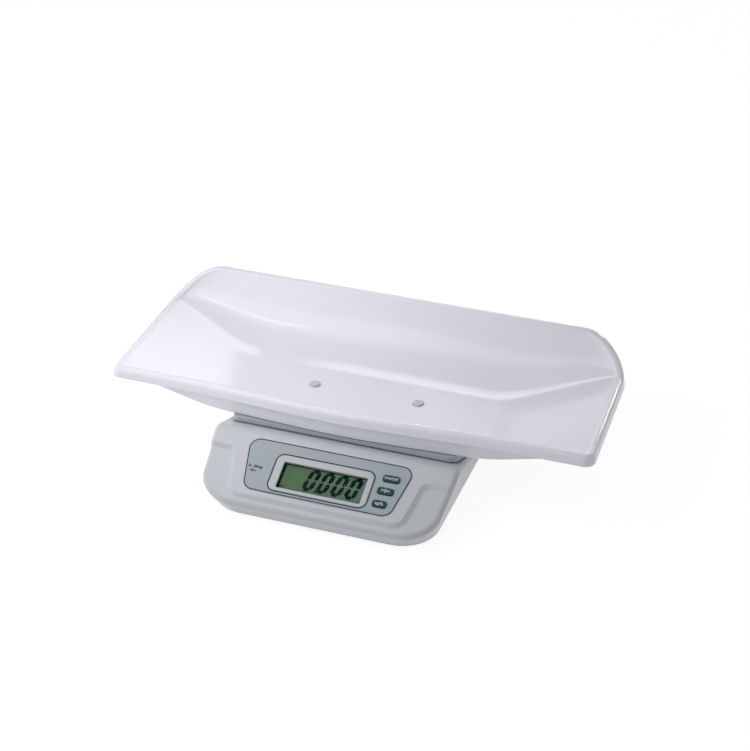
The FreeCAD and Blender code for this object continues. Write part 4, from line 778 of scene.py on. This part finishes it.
def wall_heads():
    """Where the wall meets the rim, station by station; the last three close the ramp under the rim's end."""
    back = Vector((0, TRAY_BACK - WALL_SEAT, RIM_TOP + BACK_RISE))
    ramp = BACK_X - FLOOR_HALF
    right = [back + Vector((FLOOR_HALF * i / FLOOR_STATIONS, 0, 0)) for i in range(FLOOR_STATIONS)]
    right += [back + Vector((FLOOR_HALF + ramp * i / RAMP_STATIONS, 0, 0)) for i in range(RAMP_STATIONS)]
    turns = [(90 - (90 - TURN_END) * i / TURN_STATIONS, 1.0) for i in range(TURN_STATIONS + 1)]
    for degrees, share in [*turns, *CLOSING_TURNS]:
        t = math.radians(degrees)
        right.append(rim_point(t) + rim_inward(t) * (WALL_SEAT * share))
    return [Vector((-p.x, p.y, p.z)) for p in reversed(right[1:])] + right


def wall_mesh():
    bm = bmesh.new()
    skin(bm, [wall_section(top) for top in wall_heads()], False)
    return bm


def rim_section(origin, inward):
    """The rolled rim cut across: a flared lip, a round crown and a short inner edge."""
    def at(across, up):
        return origin + inward * across + Vector((0, 0, up))

    lip_low, lip_top = at(-RIM_FLARE, -RIM_DROP), at(0, LIP_TOP)
    crown = at(CROWN_PLACE, RIM_CROWN)
    edge = at(RIM_WIDTH, EDGE_LOW)
    bevel = at(RIM_WIDTH - EDGE_BEVEL, -RIM_UNDER)
    root = at(RIM_THICK, -RIM_UNDER)
    points = [lip_low]
    points += straight(lip_low, lip_top, SHORT_STEPS)
    points += cubic(lip_top, *[at(*handle) for handle in OUTER_HANDLES], crown, CROWN_STEPS)
    points += cubic(crown, *[at(*handle) for handle in INNER_HANDLES], edge, CROWN_STEPS)
    points += straight(edge, bevel) + straight(bevel, root, SHORT_STEPS)
    points += straight(root, at(RIM_THICK - RIM_FLARE, -RIM_DROP), SHORT_STEPS)
    return points


def rim_mesh():
    half = TRAY_LENGTH / 2
    r = FRONT_RADIUS
    front = TRAY_FRONT + FRONT_BOW
    rings = []
    for i in range(1, FRONT_RIM_STATIONS):
        x = (half - r) * i / FRONT_RIM_STATIONS
        rings.append((Vector((x, TRAY_FRONT + set_back(x), RIM_TOP)), Vector((0, 1, 0))))
    for i in range(FRONT_CORNER_STATIONS + 1):
        a = math.radians(90 * i / FRONT_CORNER_STATIONS)
        outer = Vector((half - r + r * math.sin(a), front + r - r * math.cos(a), RIM_TOP))
        rings.append((outer, Vector((-math.sin(a), math.cos(a), 0))))
    for i in range(BACK_CORNER_STATIONS + 1):
        t = math.radians(90 * i / BACK_CORNER_STATIONS)
        rings.append((rim_point(t), rim_inward(t)))
    left = [(Vector((-p.x, p.y, p.z)), Vector((-n.x, n.y, n.z))) for p, n in reversed(rings)]
    middle = [(Vector((0, TRAY_FRONT, RIM_TOP)), Vector((0, 1, 0)))]
    bm = bmesh.new()
    skin(bm, [rim_section(p, n) for p, n in middle + rings + left], True)
    return bm


def drill_mesh(side):
    bm = bmesh.new()
    bmesh.ops.create_cone(bm, cap_ends=True, segments=64, radius1=STUD_HOLE, radius2=STUD_HOLE,
                          depth=DRILL_LENGTH, matrix=Matrix.Translation((side * STUD_X, STUD_Y, FLOOR_TOP)))
    return bm


def carve(piece, operation, tool):
    """One solid added to or cut from another, for good."""
    step = piece.modifiers.new("step", "BOOLEAN")
    step.operation = operation
    step.solver = "EXACT"
    step.object = tool
    bpy.context.view_layer.objects.active = piece
    bpy.ops.object.modifier_apply(modifier=step.name)
    bpy.data.objects.remove(tool)


tray_white = moulded("tray_white", colour=(0.855, 0.855, 0.925), roughness=0.17, grain=500.0,
                     relief=0.004 * MM, drift=0.012, Coat_Weight=0.35, Coat_Roughness=0.05)
tray = add_piece("tray_shell", wall_mesh(), tray_white)
carve(tray, "UNION", add_piece("rim", rim_mesh(), tray_white))
for side in (-1, 1):
    carve(tray, "DIFFERENCE", add_piece("drill", drill_mesh(side), tray_white))
tray.data.set_sharp_from_angle(angle=SHARP_ANGLE)
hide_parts("tray")
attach(tray, "tray")
